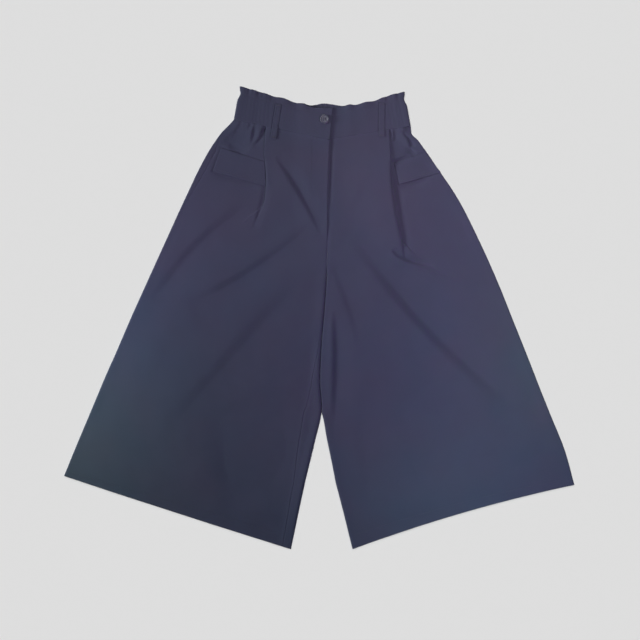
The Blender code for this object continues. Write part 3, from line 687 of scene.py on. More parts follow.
def backdrop_finish():
    """The floor's own tone, whatever the light."""
    finish = Finish("studio_backdrop")
    finish.set(Base_Color=(0.0, 0.0, 0.0, 1.0), Emission_Color=FLOOR_GREY,
               Emission_Strength=BACKDROP_GLOW, Specular_IOR_Level=0.0)
    return finish.material


# ---- cloth pieces

def grid_mesh(name, points):
    """A grid laid through points[row, column]."""
    rows, columns = points.shape[:2]
    grid = bmesh.new()
    bmesh.ops.create_grid(grid, x_segments=columns - 1, y_segments=rows - 1, size=1)
    mesh = bpy.data.meshes.new(name)
    grid.to_mesh(mesh)
    grid.free()
    plan = np.empty(len(mesh.vertices) * 3, np.float32)
    mesh.vertices.foreach_get("co", plan)
    plan = plan.reshape(-1, 3)
    column = np.rint((plan[:, 0] + 1) / 2 * (columns - 1)).astype(int)
    row = np.rint((plan[:, 1] + 1) / 2 * (rows - 1)).astype(int)
    mesh.vertices.foreach_set("co", (points[row, column] * MM).astype(np.float32).ravel())
    mesh.shade_smooth()
    return mesh, row, column


def add_piece(name, form, material):
    """A piece of the garment, of cloth or thread."""
    form.materials.append(material)
    piece = bpy.data.objects.new(name, form)
    garment.objects.link(piece)
    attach(piece, BODY)
    return piece


def cloth_piece(node, points, wall, reach):
    """A panel of cloth in place of a solid: its grid, its wall, its own coordinates, and its paler
    edges of wear and painted highlight.
    """
    name = f"{node}_cloth"
    mesh, row, column = grid_mesh(name, points)
    cut = np.stack([lengths_along(points, 1), lengths_along(points, 0), np.zeros(points.shape[:2])],
                   axis=-1)
    middle = points.shape[1] // 2
    cut[..., 0] -= cut[:, middle:middle + 1, 0]
    mesh.attributes.new("cut", "FLOAT_VECTOR", "POINT").data.foreach_set(
        "vector", cut[row, column].astype(np.float32).ravel())
    # the edges' paling: partly wear, partly a painted highlight
    mesh.attributes.new("wear_and_highlight", "FLOAT", "POINT").data.foreach_set(
        "value", edge_wear_and_highlight(points, reach)[row, column].astype(np.float32))
    piece = add_piece(name, mesh, cloth)
    thickness = piece.modifiers.new("wall", "SOLIDIFY")
    thickness.thickness = wall * MM
    thickness.offset = 0.0
    thickness.use_quality_normals = True
    soft_edge = piece.modifiers.new("soft_edge", "BEVEL")
    soft_edge.width = SOFT_EDGE * MM
    soft_edge.segments = 2
    soft_edge.limit_method = "ANGLE"
    soft_edge.angle_limit = math.radians(60)
    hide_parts(node)
    return piece


def edge_wear_and_highlight(points, reach):
    """1 on a panel's edges, 0 from reach inwards: where the cloth is paler, partly worn and partly
    a painted highlight along the edges.
    """
    across = lengths_along(points, 1)
    along = lengths_along(points, 0)
    nearest = np.minimum.reduce([across, across[:, -1:] - across, along, along[-1:] - along])
    return np.clip(1 - nearest / reach, 0, 1) ** WEAR_AND_HIGHLIGHT_FADE


# ---- legs

class LegLines:
    """The plan of one leg: its edges, and the direction and width of each section."""

    def __init__(self, side):
        inner_y = through(SECTIONS, "down", "inner_y", DOWN)
        inner_x = through(SECTIONS, "down", "inner_x", DOWN)
        if side == "left":
            inner_x = inner_x + along_rows(SECTIONS, "parting")
        outer_x = through(SECTIONS, "down", f"{side}_x", DOWN)
        outer_y = through(SECTIONS, "down", f"{side}_y", DOWN)
        self.side = side
        self.inner = np.stack([inner_x, inner_y], axis=1)
        across = np.stack([outer_x, outer_y], axis=1) - self.inner
        self.width = np.linalg.norm(across, axis=1)[:, None]
        self.across = across / self.width
        self.inseam = along_rows(SEAMS[side], "inseam")[:, None]
        self.side_seam = along_rows(SEAMS[side], "side")[:, None]
        self.tube = down_leg(CROTCH)
        # a tilted wall reaches past its middle, so it draws in from the centre line
        tilt = self.tube / np.hypot(self.tube, 1 - self.tube)
        self.draw_in = WALL / 2 * (tilt - self.tube)

    def place(self, distance):
        """Plan points at distance[row, column] from the inner edge."""
        points = self.inner[:, None, :] + self.across[:, None, :] * distance[..., None]
        share = distance / self.width
        bow = HEM_BOW[self.side] * down_leg(BOW_STARTS)
        points[..., 1] += bow * 4 * share * (1 - share)
        return points[..., 0], points[..., 1]

    def inland(self, distance, stretch, inner_share):
        """Grows away from the outer edge and, by its share, from the inner one."""
        return (rising(self.width - distance, stretch)
                * mix(1.0, rising(distance, stretch), inner_share))


def turn(beyond):
    """A wall going round an edge: inset from the outline and drop, for a distance beyond
    the point where the level top starts to turn."""
    angle = np.clip(beyond / EDGE_RADIUS, 0.0, math.pi)
    inset = WALL / 2 + EDGE_RADIUS * (1 - np.sin(angle))
    inset = inset + np.maximum(-beyond, 0) + np.maximum(beyond - math.pi * EDGE_RADIUS, 0)
    return inset, EDGE_RADIUS * (1 - np.cos(angle))


def crease_height(creases, x, y):
    """What every crease adds at the given plan points."""
    height = np.zeros(x.shape)
    t = np.linspace(0.0, 1.0, CREASE_STEPS)
    for crease in creases:
        start, middle, end = np.array(crease[:6], float).reshape(3, 2)
        bend = 2 * middle - (start + end) / 2
        line = (np.outer((1 - t) ** 2, start) + np.outer(2 * t * (1 - t), bend)
                + np.outer(t**2, end))
        reach = 3 * CREASE_SLOW * crease.width
        low, high = line.min(axis=0) - reach, line.max(axis=0) + reach
        felt = (x > low[0]) & (x < high[0]) & (y > low[1]) & (y < high[1])
        if not felt.any():
            continue
        pace = np.gradient(line, axis=0)
        stride = np.linalg.norm(pace, axis=1)
        way = pace / stride[:, None]
        gap_x = x[felt][:, None] - line[:, 0]
        gap_y = y[felt][:, None] - line[:, 1]
        nearest = np.argmin(gap_x**2 + gap_y**2, axis=1)
        picked = np.arange(len(nearest))
        dx, dy = gap_x[picked, nearest], gap_y[picked, nearest]
        beside = way[nearest, 0] * dy - way[nearest, 1] * dx
        onward = way[nearest, 0] * dx + way[nearest, 1] * dy
        share = t[nearest] + onward / stride[nearest] * (t[1] - t[0])
        past = np.maximum(np.maximum(-share, share - 1), 0) * stride.sum() / crease.width
        taper = np.sin(np.pi * np.clip(share, 0, 1)) ** CREASE_TAPER
        fade = taper * np.exp(-past**2)
        beside = beside * crease.steep
        swollen = beside - SWELL_ASIDE * crease.width
        height[felt] += fade * (
            crease.swell * bell(swollen, crease.width * np.where(swollen > 0, CREASE_SLOW, 1))
            - crease.depth * bell(beside, crease.width * np.where(beside > 0, 1, CREASE_SLOW)))
    return height


def ripples(x, y):
    """The slow unevenness of cloth that nobody has pressed."""
    height = np.zeros_like(x)
    for ripple in RIPPLES:
        angle = math.radians(ripple.heading)
        onward = x * math.cos(angle) + y * math.sin(angle)
        sideways = y * math.cos(angle) - x * math.sin(angle)
        swerve = RIPPLE_SWERVE * np.sin(
            sideways / ripple.length * RIPPLE_SWERVE_PACE + ripple.phase)
        height += ripple.height * np.sin(
            onward / ripple.length * TURN + swerve + ripple.phase)
    return height


def swinging(x, swings):
    return sum(row.size * np.sin(x / GATHER_DRIFT * row.pace + row.phase) for row in swings)


def gathers(x, shift=0.0):
    """Small uneven waves along the waist, about 7 mm apart."""
    slow = swinging(x, SPACING_SWINGS)
    share = GATHER_SHARE + swinging(x, SHARE_SWINGS)
    return (share * np.sin(x / GATHER_LENGTH * TURN + GATHER_SWERVE * slow + shift)
            + (1 - share) * np.sin(x / GATHER_LONG * TURN + LONG_SWERVE * slow
                                   + LONG_SHIFT * shift))


def gathered(x):
    """Where the waist is gathered on the front: 1 by the sides, 0 between the belt loops."""
    return rising(x, GATHER_FRONT["right"]) + rising(x, GATHER_FRONT["left"])


def waist_seam_y(x):
    """The line along which the legs are sewn to the band."""
    waist = SECTIONS[0]
    return np.interp(x, [waist.right_x, waist.inner_x, waist.left_x],
                     [waist.right_y, waist.inner_y, waist.left_y])


def hem_relief(up, along):
    """The turned-up hem's step, the groove of its stitching and the waves under it."""
    rope = HEM_ROPE * np.sin((along + HEM_ROPE_SLANT * up) / HEM_ROPE_LENGTH * TURN)
    inside = rising(up, (HEM_DEPTH + HEM_STEP_HALF, HEM_DEPTH - HEM_STEP_HALF))
    return (HEM_STEP * inside - HEM_GROOVE * bell(up - HEM_DEPTH, GROOVE_WIDTH)
            + rope * inside * hump(up - HEM_DEPTH / 2, HEM_DEPTH / 2))


def puckers(leg, distance, y):
    """Small waves beside the side seam and, below the crotch, beside the inseam."""
    def along(pucker):
        return np.sin(y / PUCKER_LENGTH * TURN * pucker.pace
                      + pucker.swerve * np.sin(y / pucker.drift))

    side = rising(leg.width - distance, PUCKER_EDGE) * along(SIDE_PUCKER)
    inseam = rising(distance, PUCKER_EDGE) * along(INSEAM_PUCKER)
    return PUCKER_HEIGHT * (side + inseam * leg.tube)


def pleat_lines(leg):
    """The pleat's edge and its back, as distances from the leg's inner edge."""
    edge = through(PLEATS[leg.side], "down", "edge", DOWN)[:, None] - PLEAT_STEPS[leg.side] / 2
    shallow = down_leg(PLEAT_SHALLOWS[leg.side])
    return edge, edge - mix(PLEAT_DEPTH, PLEAT_LEAST, shallow), shallow


def waist_rise(leg, distance, below):
    """The front rises to the band's level at its seam, less where the pleat's layers do it."""
    edge, back, _ = pleat_lines(leg)
    clear = np.where(distance < (edge + back) / 2, 1 - rising(distance - back, PLEAT_SETTLE),
                     rising(distance - edge, WAIST_RISE_PLEAT))
    height = WAIST_RISE
    if leg.side == "left":
        height = mix(WAIST_RISE, WAIST_RISE_LEFT, rising(distance, FLY_ACROSS))
    return (height * clear * rising(below, WAIST_RISE_FALL)
            * rising(leg.width - distance, WAIST_RISE_EDGE))


def relief(leg, distance, x, y):
    """What the front's surface adds to its level."""
    to_hem = down_leg(LOFT_HEM)
    loft = LEG_LOFT * leg.inland(distance, LOFT_EDGE, leg.tube) * to_hem * down_leg(LOFT_WAIST)
    inland = leg.inland(distance, CREASE_EDGE, leg.tube)
    below = waist_seam_y(x) - y
    waist = (GATHER_HEIGHT * gathers(x) * gathered(x) * rising(below, GATHER_FALL)
             + waist_rise(leg, distance, below))
    from_roll = distance - ROLL_PLACE
    roll = (INNER_ROLL[leg.side] * leg.tube * to_hem
            * bell(from_roll, np.where(from_roll < 0, *ROLL_WIDTHS)))
    return (loft + (crease_height(CREASES, x, y) + ripples(x, y)) * inland + waist + roll
            - flap_bed(x, y) + puckers(leg, distance, y) + hem_relief(HEM_UP, distance))


def flap_bed(x, y):
    """How far the front lies lower under each flap, 0 away from them."""
    depth = np.zeros_like(x)
    for flap in FLAPS.values():
        corners = plan_points(flap)
        middle = np.mean(corners, axis=0)
        inside = np.full(x.shape, np.inf)
        for start, end in zip(corners, corners[1:] + corners[:1]):
            way = heading(start, end)
            beside = way[0] * (y - start[1]) - way[1] * (x - start[0])
            inside = np.minimum(inside, beside * np.sign(
                way[0] * (middle[1] - start[1]) - way[1] * (middle[0] - start[0])))
        depth += rising(inside, FLAP_BED_EDGE)
    return (FLAP_BED - crease_height(FLAP_CREASES, x, y)) * depth


def fly_shift(side):
    """How far a front runs past the centre seam at each row."""
    share = np.clip(DOWN / FLY_END, 0, 1)
    if side == "right":
        return FLY_LAP * (1 - share) ** 2
    return FLY_UNDERLAP * (1 - share**2)


def roll_waist_edge(points):
    """Lowers a leg's upper edge so that the waist seam is a soft groove."""
    points[..., 2] -= SEAM_DIP * bell(lengths_along(points, 0), SEAM_ROLL)


def front_points(leg):
    """Rows and columns of a front's middle surface, with its pleat folded."""
    beyond_in = -leg.inseam - SEAM_HALF - EDGE_STEPS
    beyond_out = -leg.side_seam - SEAM_HALF - EDGE_STEPS[::-1]
    turned, inner_drop = turn(beyond_in)
    level = SEAM_HALF + EDGE_STEPS - fly_shift(leg.side)[:, None]
    inner = mix(level, turned + TOUCH, leg.tube) + leg.draw_in
    outer_inset, outer_drop = turn(beyond_out)
    outer = leg.width - outer_inset

    # the pleat: top layer, its nose, the middle layer going back, its nose, bottom layer
    edge, back, shallow = pleat_lines(leg)
    step = PLEAT_STEPS[leg.side]
    turns = math.pi * np.arange(1, NOSE_COLUMNS + 1) / (NOSE_COLUMNS + 1)
    nose = step / 2 * mix(1.0, PLEAT_BULGE, shallow) * np.sin(turns)
    nose_level = np.cos(turns) / 2 + np.zeros_like(edge)
    slant = MIDDLE_SLANT * shallow
    top = mix(inner[:, -1:], edge, np.linspace(0, 1, TOP_COLUMNS + 1)[1:] ** TOP_CROWDING)
    bottom = spread(back, outer, BOTTOM_COLUMNS + 1)[:, :-1]
    folded = stack(top, edge + nose, spread(edge, back, MIDDLE_COLUMNS), back - nose, bottom)
    lift = stack(2 * rising(top - back, PLEAT_SETTLE), 1.5 + nose_level,
                 spread(1 + slant, 1 - slant, MIDDLE_COLUMNS), 0.5 + nose_level,
                 np.zeros_like(bottom))
    opened = down_leg(PLEAT_OPENS[leg.side])
    lift = lift * (1 - opened) * mix(PLEAT_SEWN, step, down_leg(PLEAT_FREE))

    flat = between(inner, outer, folded.shape[1])
    distance = stack(inner, mix(folded, flat, opened), outer)
    x, y = leg.place(distance)
    none = np.zeros_like(inner)
    on_top = stack(mix(1.0, rising(beyond_in, ON_TOP), leg.tube), np.ones_like(lift),
                   rising(beyond_out, ON_TOP))
    z = FRONT_Z + stack(none, lift, none) + relief(leg, distance, x, y) * on_top
    if leg.side == "right":
        z += FLY_LIFT * down_leg(FLY_DOWN) * rising(distance, FLY_ACROSS)
        z += (INSEAM_LIFT * bell(distance - leg.inseam, SEAM_STEP)
              * rising(leg.inseam, SEAM_ON_TOP))
        z -= (SIDE_SINK * bell(leg.width - leg.side_seam - distance, SEAM_STEP)
              * rising(leg.side_seam, SEAM_ON_TOP))
    z -= stack(inner_drop * leg.tube, np.zeros_like(lift), outer_drop)
    return np.stack([x, y, np.maximum(z, LOWEST_FRONT_Z)], axis=-1)


def round_edge(seam):
    """Distances beyond the top's turn, from the seam to the floor, for the back's wall."""
    share = np.linspace(0, 1, EDGE_COLUMNS)[None, :] ** EDGE_CROWDING
    return mix(-seam + SEAM_HALF, math.pi * EDGE_RADIUS, share)


def back_points(leg):
    """The back: flat on the surface, its edges turned up and over to the seams."""
    beyond_in = round_edge(leg.inseam)
    inset, drop = turn(beyond_in)
    inner = mix(beyond_in + leg.inseam, inset + TOUCH, leg.tube) + leg.draw_in
    inner_z = mix(BACK_Z, FRONT_Z - drop, leg.tube)
    beyond_out = round_edge(leg.side_seam)[:, ::-1]
    inset, drop = turn(beyond_out)
    outer = leg.width - inset
    middle = between(inner, outer, BACK_COLUMNS)

    distance = stack(inner, middle, outer)
    x, y = leg.place(distance)
    dents = (np.maximum(-crease_height(BACK_CREASES, x, y), 0)
             * leg.inland(distance, CREASE_EDGE, 1.0))
    z = (stack(inner_z, np.full_like(middle, BACK_Z), FRONT_Z - drop) + dents
         + UNDER_GROOVE * bell(HEM_UP - HEM_DEPTH, GROOVE_WIDTH))
    on_top = stack(rising(beyond_in, ON_TOP) * leg.tube, np.zeros_like(middle),
                   rising(beyond_out, ON_TOP))
    z = np.maximum(z + relief(leg, distance, x, y) * on_top, np.minimum(z, LOWEST_FRONT_Z))
    return np.stack([x, y, z], axis=-1)


# ---- waistband

def frill(x):
    """The waves' lift and rise at x."""
    lift = sum(wave.lift * hump(x - wave.x, wave.half_width) for wave in WAVES)
    rise = sum(wave.rise * hump(x - wave.x, wave.half_width) for wave in WAVES)
    return lift, rise


def loop_bed(x, y):
    """How far the band lies under each belt loop, 0 away from them."""
    depth = np.zeros_like(x)
    for loop in LOOPS.values():
        top, foot = plan_points(loop)
        way = heading(top, foot)
        onward = (x - top[0]) * way[0] + (y - top[1]) * way[1]
        aside = np.abs((x - top[0]) * way[1] - (y - top[1]) * way[0])
        depth += rising(aside - LOOP_WIDTH / 2, LOOP_BED_SIDE) * rising(onward, LOOP_BED_TOP)
    return LOOP_BED * depth


def band_points(name):
    """A piece of waistband: columns along it, rows from the waist seam to the frill's edge."""
    sections = BAND_SECTIONS[name]
    first, last = sections[0].seam_x, sections[-1].seam_x
    way = math.copysign(1.0, last - first)
    is_back = name == "waistband_back"
    inset = way * (BAND_WALL / 2 + BAND_RADIUS * (1 - np.sin(BAND_TURNS)))
    turned = BAND_RADIUS * (1 - np.cos(BAND_TURNS))
    start = first + inset[0] if is_back else first
    x = np.linspace(start, last - inset[0], BAND_COLUMNS[name])
    side_turn = np.concatenate([np.zeros_like(x), turned[1:]])
    x = np.concatenate([x, last - inset[1:]])
    from_side = np.abs(last - x)
    inward = np.full_like(x, -way)
    if is_back:
        x = np.concatenate([first + inset[:0:-1], x])
        side_turn = np.concatenate([turned[:0:-1], side_turn])
        from_side = np.minimum(x - first, last - x)
        inward = np.sign((first + last) / 2 - x)

    edge_x = through(sections, "seam_x", "edge_x", x)
    edge_y = through(sections, "seam_x", "edge_y", x)
    lift, rise = frill(edge_x)
    levels = BAND_LEVELS[:, None]
    pinch = NECK_PINCH * hump(levels - NECK, NECK_HEIGHT) * rising(from_side, NECK_FADE)
    plan_x = mix(x, edge_x, levels) + pinch * inward
    plan_y = mix(waist_seam_y(x) + BAND_SEAM, edge_y + rise, levels)
    flat_side = rising(from_side, (BAND_RADIUS, BAND_RADIUS + SIDE_FADE))
    wave = lift * flat_side * np.interp(levels, WAVE_LEVELS, WAVE_SHARES)

    on_casing = rising(levels, CASING_FOOT) * rising(levels, CASING_HEAD)
    on_frill = rising(levels, (NECK, 1.0))
    pace, phase = FRILL_GATHER
    small = (GATHER_HEIGHT * mix(GATHER_BELOW, 1.0, on_casing) * gathers(x, GATHER_SLANT * levels)
             * rising(levels, CASING_END) + GATHER_FRILL * on_frill * gathers(x * pace, phase))
    at_neck = bell(levels - NECK, NECK_GROOVE_WIDTH)
    if is_back:
        small = np.maximum(small, 0) * flat_side
        z = BAND_BACK_Z + side_turn + BACK_WAVE * wave + small + UNDER_GROOVE * at_neck
    else:
        small = small * mix(FRILL_BETWEEN * on_frill, 1.0, gathered(x)) * flat_side
        sunk = (NECK_GROOVE * at_neck + SEAM_DIP * BAND_DIP * bell(levels, BAND_ROLL)
                + FRILL_FALL * on_frill)
        lap = FLY_BAND[name]
        z = (BAND_FRONT_Z - side_turn + wave + small - sunk * flat_side
             - loop_bed(plan_x, plan_y) + lap.lift * rising(plan_x, lap.across))
    return np.stack([plan_x, plan_y, z], axis=-1)


# ---- what lies on top

def tree_of(points):
    """A search tree over a grid of points, for finding the surface above a place."""
    rows, columns = points.shape[:2]
    index = np.arange(rows * columns).reshape(rows, columns)
    quads = np.stack([index[:-1, :-1], index[:-1, 1:], index[1:, 1:], index[1:, :-1]], axis=-1)
    return BVHTree.FromPolygons(points.reshape(-1, 3).tolist(), quads.reshape(-1, 4).tolist())


def surface_at(trees, x, y):
    """The highest point of the trees' surfaces at a place, and the way it faces."""
    best = None
    for tree in trees:
        hit, normal, _, _ = tree.ray_cast(Vector((x, y, HIGH_ABOVE)), Vector((0, 0, -1)))
        if hit and (best is None or hit.z > best[0].z):
            best = hit, normal if normal.z > 0 else -normal
    return best


def heights(trees, x, y):
    """The trees' highest surface at every plan point."""
    found = np.full(x.shape, FRONT_Z)
    for spot in np.ndindex(x.shape):
        hit = surface_at(trees, x[spot], y[spot])
        if hit:
            found[spot] = hit[0].z
    return found


def eased(height, passes=3):
    """A height field raised to its neighbours' highest and then smoothed, so it clears them."""
    padded = np.pad(height, 1, mode="edge")
    rows, columns = height.shape
    raised = np.max([padded[r:r + rows, c:c + columns] for r in range(3) for c in range(3)], axis=0)
    for _ in range(passes):
        padded = np.pad(raised, 1, mode="edge")
        raised = (padded[:-2, 1:-1] + padded[2:, 1:-1] + padded[1:-1, :-2] + padded[1:-1, 2:]
                  + 2 * padded[1:-1, 1:-1]) / 6
    return raised


def flap_points(flap, tree, curl):
    """A flap on the front's points, moved out, its free edge curling up a little."""
    top_in, top_out, low_out, low_in = plan_points(flap)
    fall = np.linspace(0, 1, FLAP_ROWS)[:, None, None]
    out = np.linspace(0, 1, FLAP_COLUMNS)[None, :, None]
    plan = mix(mix(top_in, top_out, out), mix(low_in, low_out, out), fall)
    x, y = plan[..., 0], plan[..., 1]
    fall, out = fall[..., 0], out[..., 0]
    width = np.linalg.norm(top_out - top_in)
    depth = np.linalg.norm(low_in - top_in)
    from_free = np.minimum(np.minimum((1 - fall) * depth, out * width), (1 - out) * width)
    z = (eased(heights([tree], x, y)) + WALL / 2 + FLAP_WALL / 2 + FLAP_CLEAR
         + FLAP_CURL * fall**3 * hump(out - curl, FLAP_CURL_REACH)
         - FLAP_GROOVE * bell(from_free - FLAP_STITCH, GROOVE_WIDTH)
         - FLAP_EDGE_SINK * np.maximum(bell(fall * depth, FLAP_SEWN_ROLL),
                                       bell(from_free, FLAP_FREE_ROLL)))
    return np.stack([x, y, z], axis=-1)


def loop_points(loop, trees):
    """A belt loop: a strip from the frill's foot over the band and its seam."""
    top, foot = plan_points(loop)
    along = heading(top, foot)
    aside = leftwards(along)
    share = np.linspace(0, 1, LOOP_ROWS)[:, None, None]
    offset = np.linspace(-0.5, 0.5, LOOP_COLUMNS)[None, :, None] * LOOP_WIDTH
    plan = mix(top, foot, share) + aside * offset
    x, y = plan[..., 0], plan[..., 1]
    level = np.max(heights(trees, x, y), axis=1, keepdims=True)
    level = eased(np.repeat(level, LOOP_COLUMNS, axis=1), LOOP_EASE)
    share, offset = share[..., 0], offset[..., 0]
    ends = bell(share, LOOP_END) + bell(1 - share, LOOP_END)
    crown = LOOP_CROWN * (1 - (offset / (LOOP_WIDTH / 2)) ** 4)
    z = (level + BAND_WALL / 2 + LOOP_WALL / 2 + LOOP_CLEAR + crown * (1 - ends)
         - LOOP_END_SINK * ends)
    return np.stack([x, y, z], axis=-1)


# ---- sewing

Stitch = namedtuple("Stitch", "middle way up length")


def stitches_along(tree, path, wall, under=False):
    """Stitches end to end along a plan path, lying in the surface that the tree gives."""
    path = np.asarray(path, float)
    run = np.concatenate([[0], np.cumsum(np.linalg.norm(np.diff(path, axis=0), axis=1))])
    sunk = 2 * THREAD_RADIUS - UNDER_GROOVE if under else THREAD_SUNK
    made = []
    for middle in np.arange(STITCH_LENGTH / 2, run[-1] - STITCH_LENGTH / 2,
                            STITCH_LENGTH + STITCH_GAP):
        x, y, ahead_x, ahead_y = (np.interp(middle + ahead, run, path[:, axis])
                                  for ahead in (0, STITCH_AHEAD) for axis in (0, 1))
        hit = surface_at([tree], x, y)
        if hit:
            place, up = hit
            up = -up if under else up
            way = Vector((ahead_x - x, ahead_y - y, 0.0))
            way = (way - up * way.dot(up)).normalized()
            place = place + up * (wall / 2 + THREAD_RADIUS - sunk)
            made.append(Stitch(place, way, up, STITCH_LENGTH))
    return made


def bar_tack(tree, centre, across, width, height, wall):
    """Close threads side by side, as at the end of a belt loop."""
    up = Vector((0, 0, 1))
    across = Vector((*across, 0.0)).normalized()
    along = Vector((-across.y, across.x, 0.0))
    made = []
    for offset in np.arange(-height / 2, height / 2, TACK_PITCH):
        spot = Vector((*centre, 0.0)) + along * offset
        hit = surface_at([tree], spot.x, spot.y)
        if hit:
            made.append(Stitch(hit[0] + up * (wall / 2 + TACK_PROUD), across, up, width))
    return made


def thread_piece(name, stitches):
    """Every stitch of a piece as one mesh: short threads, thick in the middle."""
    bead = bmesh.new()
    bmesh.ops.create_uvsphere(bead, u_segments=6, v_segments=5, radius=1.0)
    bead.verts.index_update()
    shape = np.array([vertex.co for vertex in bead.verts])
    faces = sorted([vertex.index for vertex in face.verts] for face in bead.faces)
    bead.free()
    corners, all_faces = [], []
    for number, stitch in enumerate(stitches):
        side = stitch.up.cross(stitch.way)
        axes = np.array([side * THREAD_RADIUS, stitch.up * THREAD_RADIUS,
                         stitch.way * (stitch.length / 2)])
        corners.append(shape @ axes + np.array(stitch.middle))
        all_faces += [[corner + number * len(shape) for corner in face] for face in faces]
    mesh = bpy.data.meshes.new(name)
    mesh.from_pydata((np.concatenate(corners) * MM).tolist(), [], all_faces)
    mesh.shade_smooth()
    return add_piece(name, mesh, thread)


def inset_path(corners, distance):
    """A path inside an open run of corners, at a distance from it."""
    corners = plan_points(corners)
    lines = []
    for start, end in zip(corners, corners[1:]):
        way = heading(start, end)
        inward = leftwards(way) * distance
        lines.append((start + inward, way))
    path = [lines[0][0] + lines[0][1] * distance]
    for (start, way), (other, turned) in zip(lines, lines[1:]):
        span = np.linalg.solve(np.stack([way, -turned], axis=1), other - start)
        path.append(start + way * span[0])
    last, way = lines[-1]
    path.append(last + way * (np.linalg.norm(corners[-1] - corners[-2]) - distance))
    return np.array(path)


def fly_stitches(leg, tree):
    """The fly's stitching, straight down and then curved in to a bar tack on the seam."""
    rows = slice(*np.searchsorted(DOWN, FLY_STITCH_ROWS))
    line = leg.inner[rows] + leg.across[rows] * (FLY_STITCH - FLY_LAP)
    foot = leg.inner[int(np.searchsorted(DOWN, FLY_END + FLY_STITCH_FOOT))]
    knee = np.array([line[-1][0], foot[1] + FLY_STITCH_KNEE])
    t = np.linspace(0, 1, FLY_CURVE_STEPS)[:, None]
    curve = (1 - t) ** 2 * line[-1] + 2 * t * (1 - t) * knee + t**2 * foot
    return (stitches_along(tree, np.concatenate([line, curve[1:]]), WALL)
            + bar_tack(tree, foot, (1.0, 0.0), *FLY_TACK, WALL))


def loop_stitches(loop, tree):
    """Two rows down a belt loop and a bar tack at either end."""
    top, foot = plan_points(loop)
    along = heading(top, foot)
    aside = leftwards(along)
    made = []
    for offset in (-LOOP_STITCH, LOOP_STITCH):
        path = [top + along + aside * offset, foot - along + aside * offset]
        made += stitches_along(tree, path, LOOP_WALL)
    share, height, place = LOOP_TACK
    for end, inwards in ((top, along), (foot, -along)):
        made += bar_tack(tree, end + inwards * place, aside, LOOP_WIDTH * share, height, LOOP_WALL)
    return made


def sew_button():
    """Two threads across the button's well, from hole to hole."""
    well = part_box("button")[1][2] / MM - BUTTON_WELL_BELOW
    made = bpy.data.curves.new("button_thread", "CURVE")
    made.dimensions = "3D"
    made.bevel_depth = BUTTON_THREAD_RADIUS * MM
    made.bevel_resolution = 3
    made.use_fill_caps = True
    x, y = BUTTON_PLACE
    spots = ((-BUTTON_HOLE_OFFSET, BUTTON_THREAD_SINKS), (0.0, BUTTON_THREAD_RISES),
             (BUTTON_HOLE_OFFSET, BUTTON_THREAD_SINKS))
    for aside in (-BUTTON_THREAD_ASIDE, BUTTON_THREAD_ASIDE):
        for up in (-BUTTON_HOLE_OFFSET, BUTTON_HOLE_OFFSET):
            spline = made.splines.new("BEZIER")
            spline.bezier_points.add(2)
            for point, (across, rise) in zip(spline.bezier_points, spots):
                point.co = Vector((x + across, y + up + aside, well + rise)) * MM
                point.handle_left_type = point.handle_right_type = "AUTO"
    add_piece("button_thread", made, thread)


# ---- the garment

def sew(node, points, wall, wear_and_highlight, stitches):
    """Adds a piece of cloth and its sewing."""
    sewing = thread_piece(f"{node}_stitches", stitches)
    piece = cloth_piece(node, points, wall, WEAR_AND_HIGHLIGHT[wear_and_highlight])


garment = bpy.data.collections.new("culottes_cloth")
bpy.context.scene.collection.children.link(garment)
cloth = cloth_finish("navy_twill")
thread = thread_finish()

legs = {side: LegLines(side) for side in ("right", "left")}
bands = {name: band_points(name) for name in BAND_SECTIONS}
# the pleat's bottom layer starts at this column, taken with the last two of its fold
first_bottom = len(EDGE_STEPS) + TOP_COLUMNS + 2 * NOSE_COLUMNS + MIDDLE_COLUMNS - 2
hem_row = int(np.argmin(np.abs(HEM_UP - HEM_DEPTH)))
neck_row = int(np.argmin(np.abs(BAND_LEVELS - NECK)))

for side, leg in legs.items():
    front, back = front_points(leg), back_points(leg)
    roll_waist_edge(front)
    tree = tree_of(front)
    stitches = stitches_along(tree, front[hem_row, FRONT_ENDS:-FRONT_ENDS, :2], WALL)
    if side == "right":
        stitches += fly_stitches(leg, tree)
    sew(f"front_{side}", front, WALL, "leg", stitches)
    path = back[hem_row, BACK_ENDS:-BACK_ENDS, :2]
    sew(f"back_{side}", back, WALL, "leg",
        stitches_along(tree_of(back), path, WALL, under=True))

    flap = FLAPS[side]
    points = flap_points(flap, tree_of(front[:, first_bottom:]), FLAP_CURLS[side])
    edges = [flap.top_in, flap.low_in, flap.low_out, flap.top_out]
    path = inset_path(edges if side == "left" else edges[::-1], FLAP_STITCH)
    sew(f"pocket_flap_{side}", points, FLAP_WALL, "flap",
        stitches_along(tree_of(points), path, FLAP_WALL))

    points = loop_points(LOOPS[side], [tree, tree_of(bands[f"waistband_front_{side}"])])
    sew(f"belt_loop_{side}", points, LOOP_WALL, "loop",
        loop_stitches(LOOPS[side], tree_of(points)))

for name, points in bands.items():
    under = name == "waistband_back"
    path = points[neck_row, BAND_ENDS:-BAND_ENDS, :2]
    sew(name, points, BAND_WALL, "band", stitches_along(tree_of(points), path, BAND_WALL, under))

sew_button()
button = frame["nodes"]["button"]
button.data.materials.clear()
button.data.materials.append(horn_finish())

# ---- studio

VIEW_CENTRE = (1.4, -4.0, 7.0)
VIEW_WIDTH = 1152.0           # how much the camera takes in there
LENS = 85.0
SENSOR = 36.0
FLOOR_HALF = 40.0             # this and what follows is in metres
BACKDROP_RADIUS = 36.0
BACKDROP_SIDES = 48
SUN_HEIGHT = 2.0

studio = bpy.context.scene.collection.objects
camera_data = bpy.data.cameras.new("camera")
camera_data.lens = LENS
camera_data.sensor_width = SENSOR
camera = bpy.data.objects.new("camera", camera_data)
camera.location = (Vector(VIEW_CENTRE) + Vector((0, 0, VIEW_WIDTH * LENS / SENSOR))) * MM
studio.link(camera)
bpy.context.scene.camera = camera


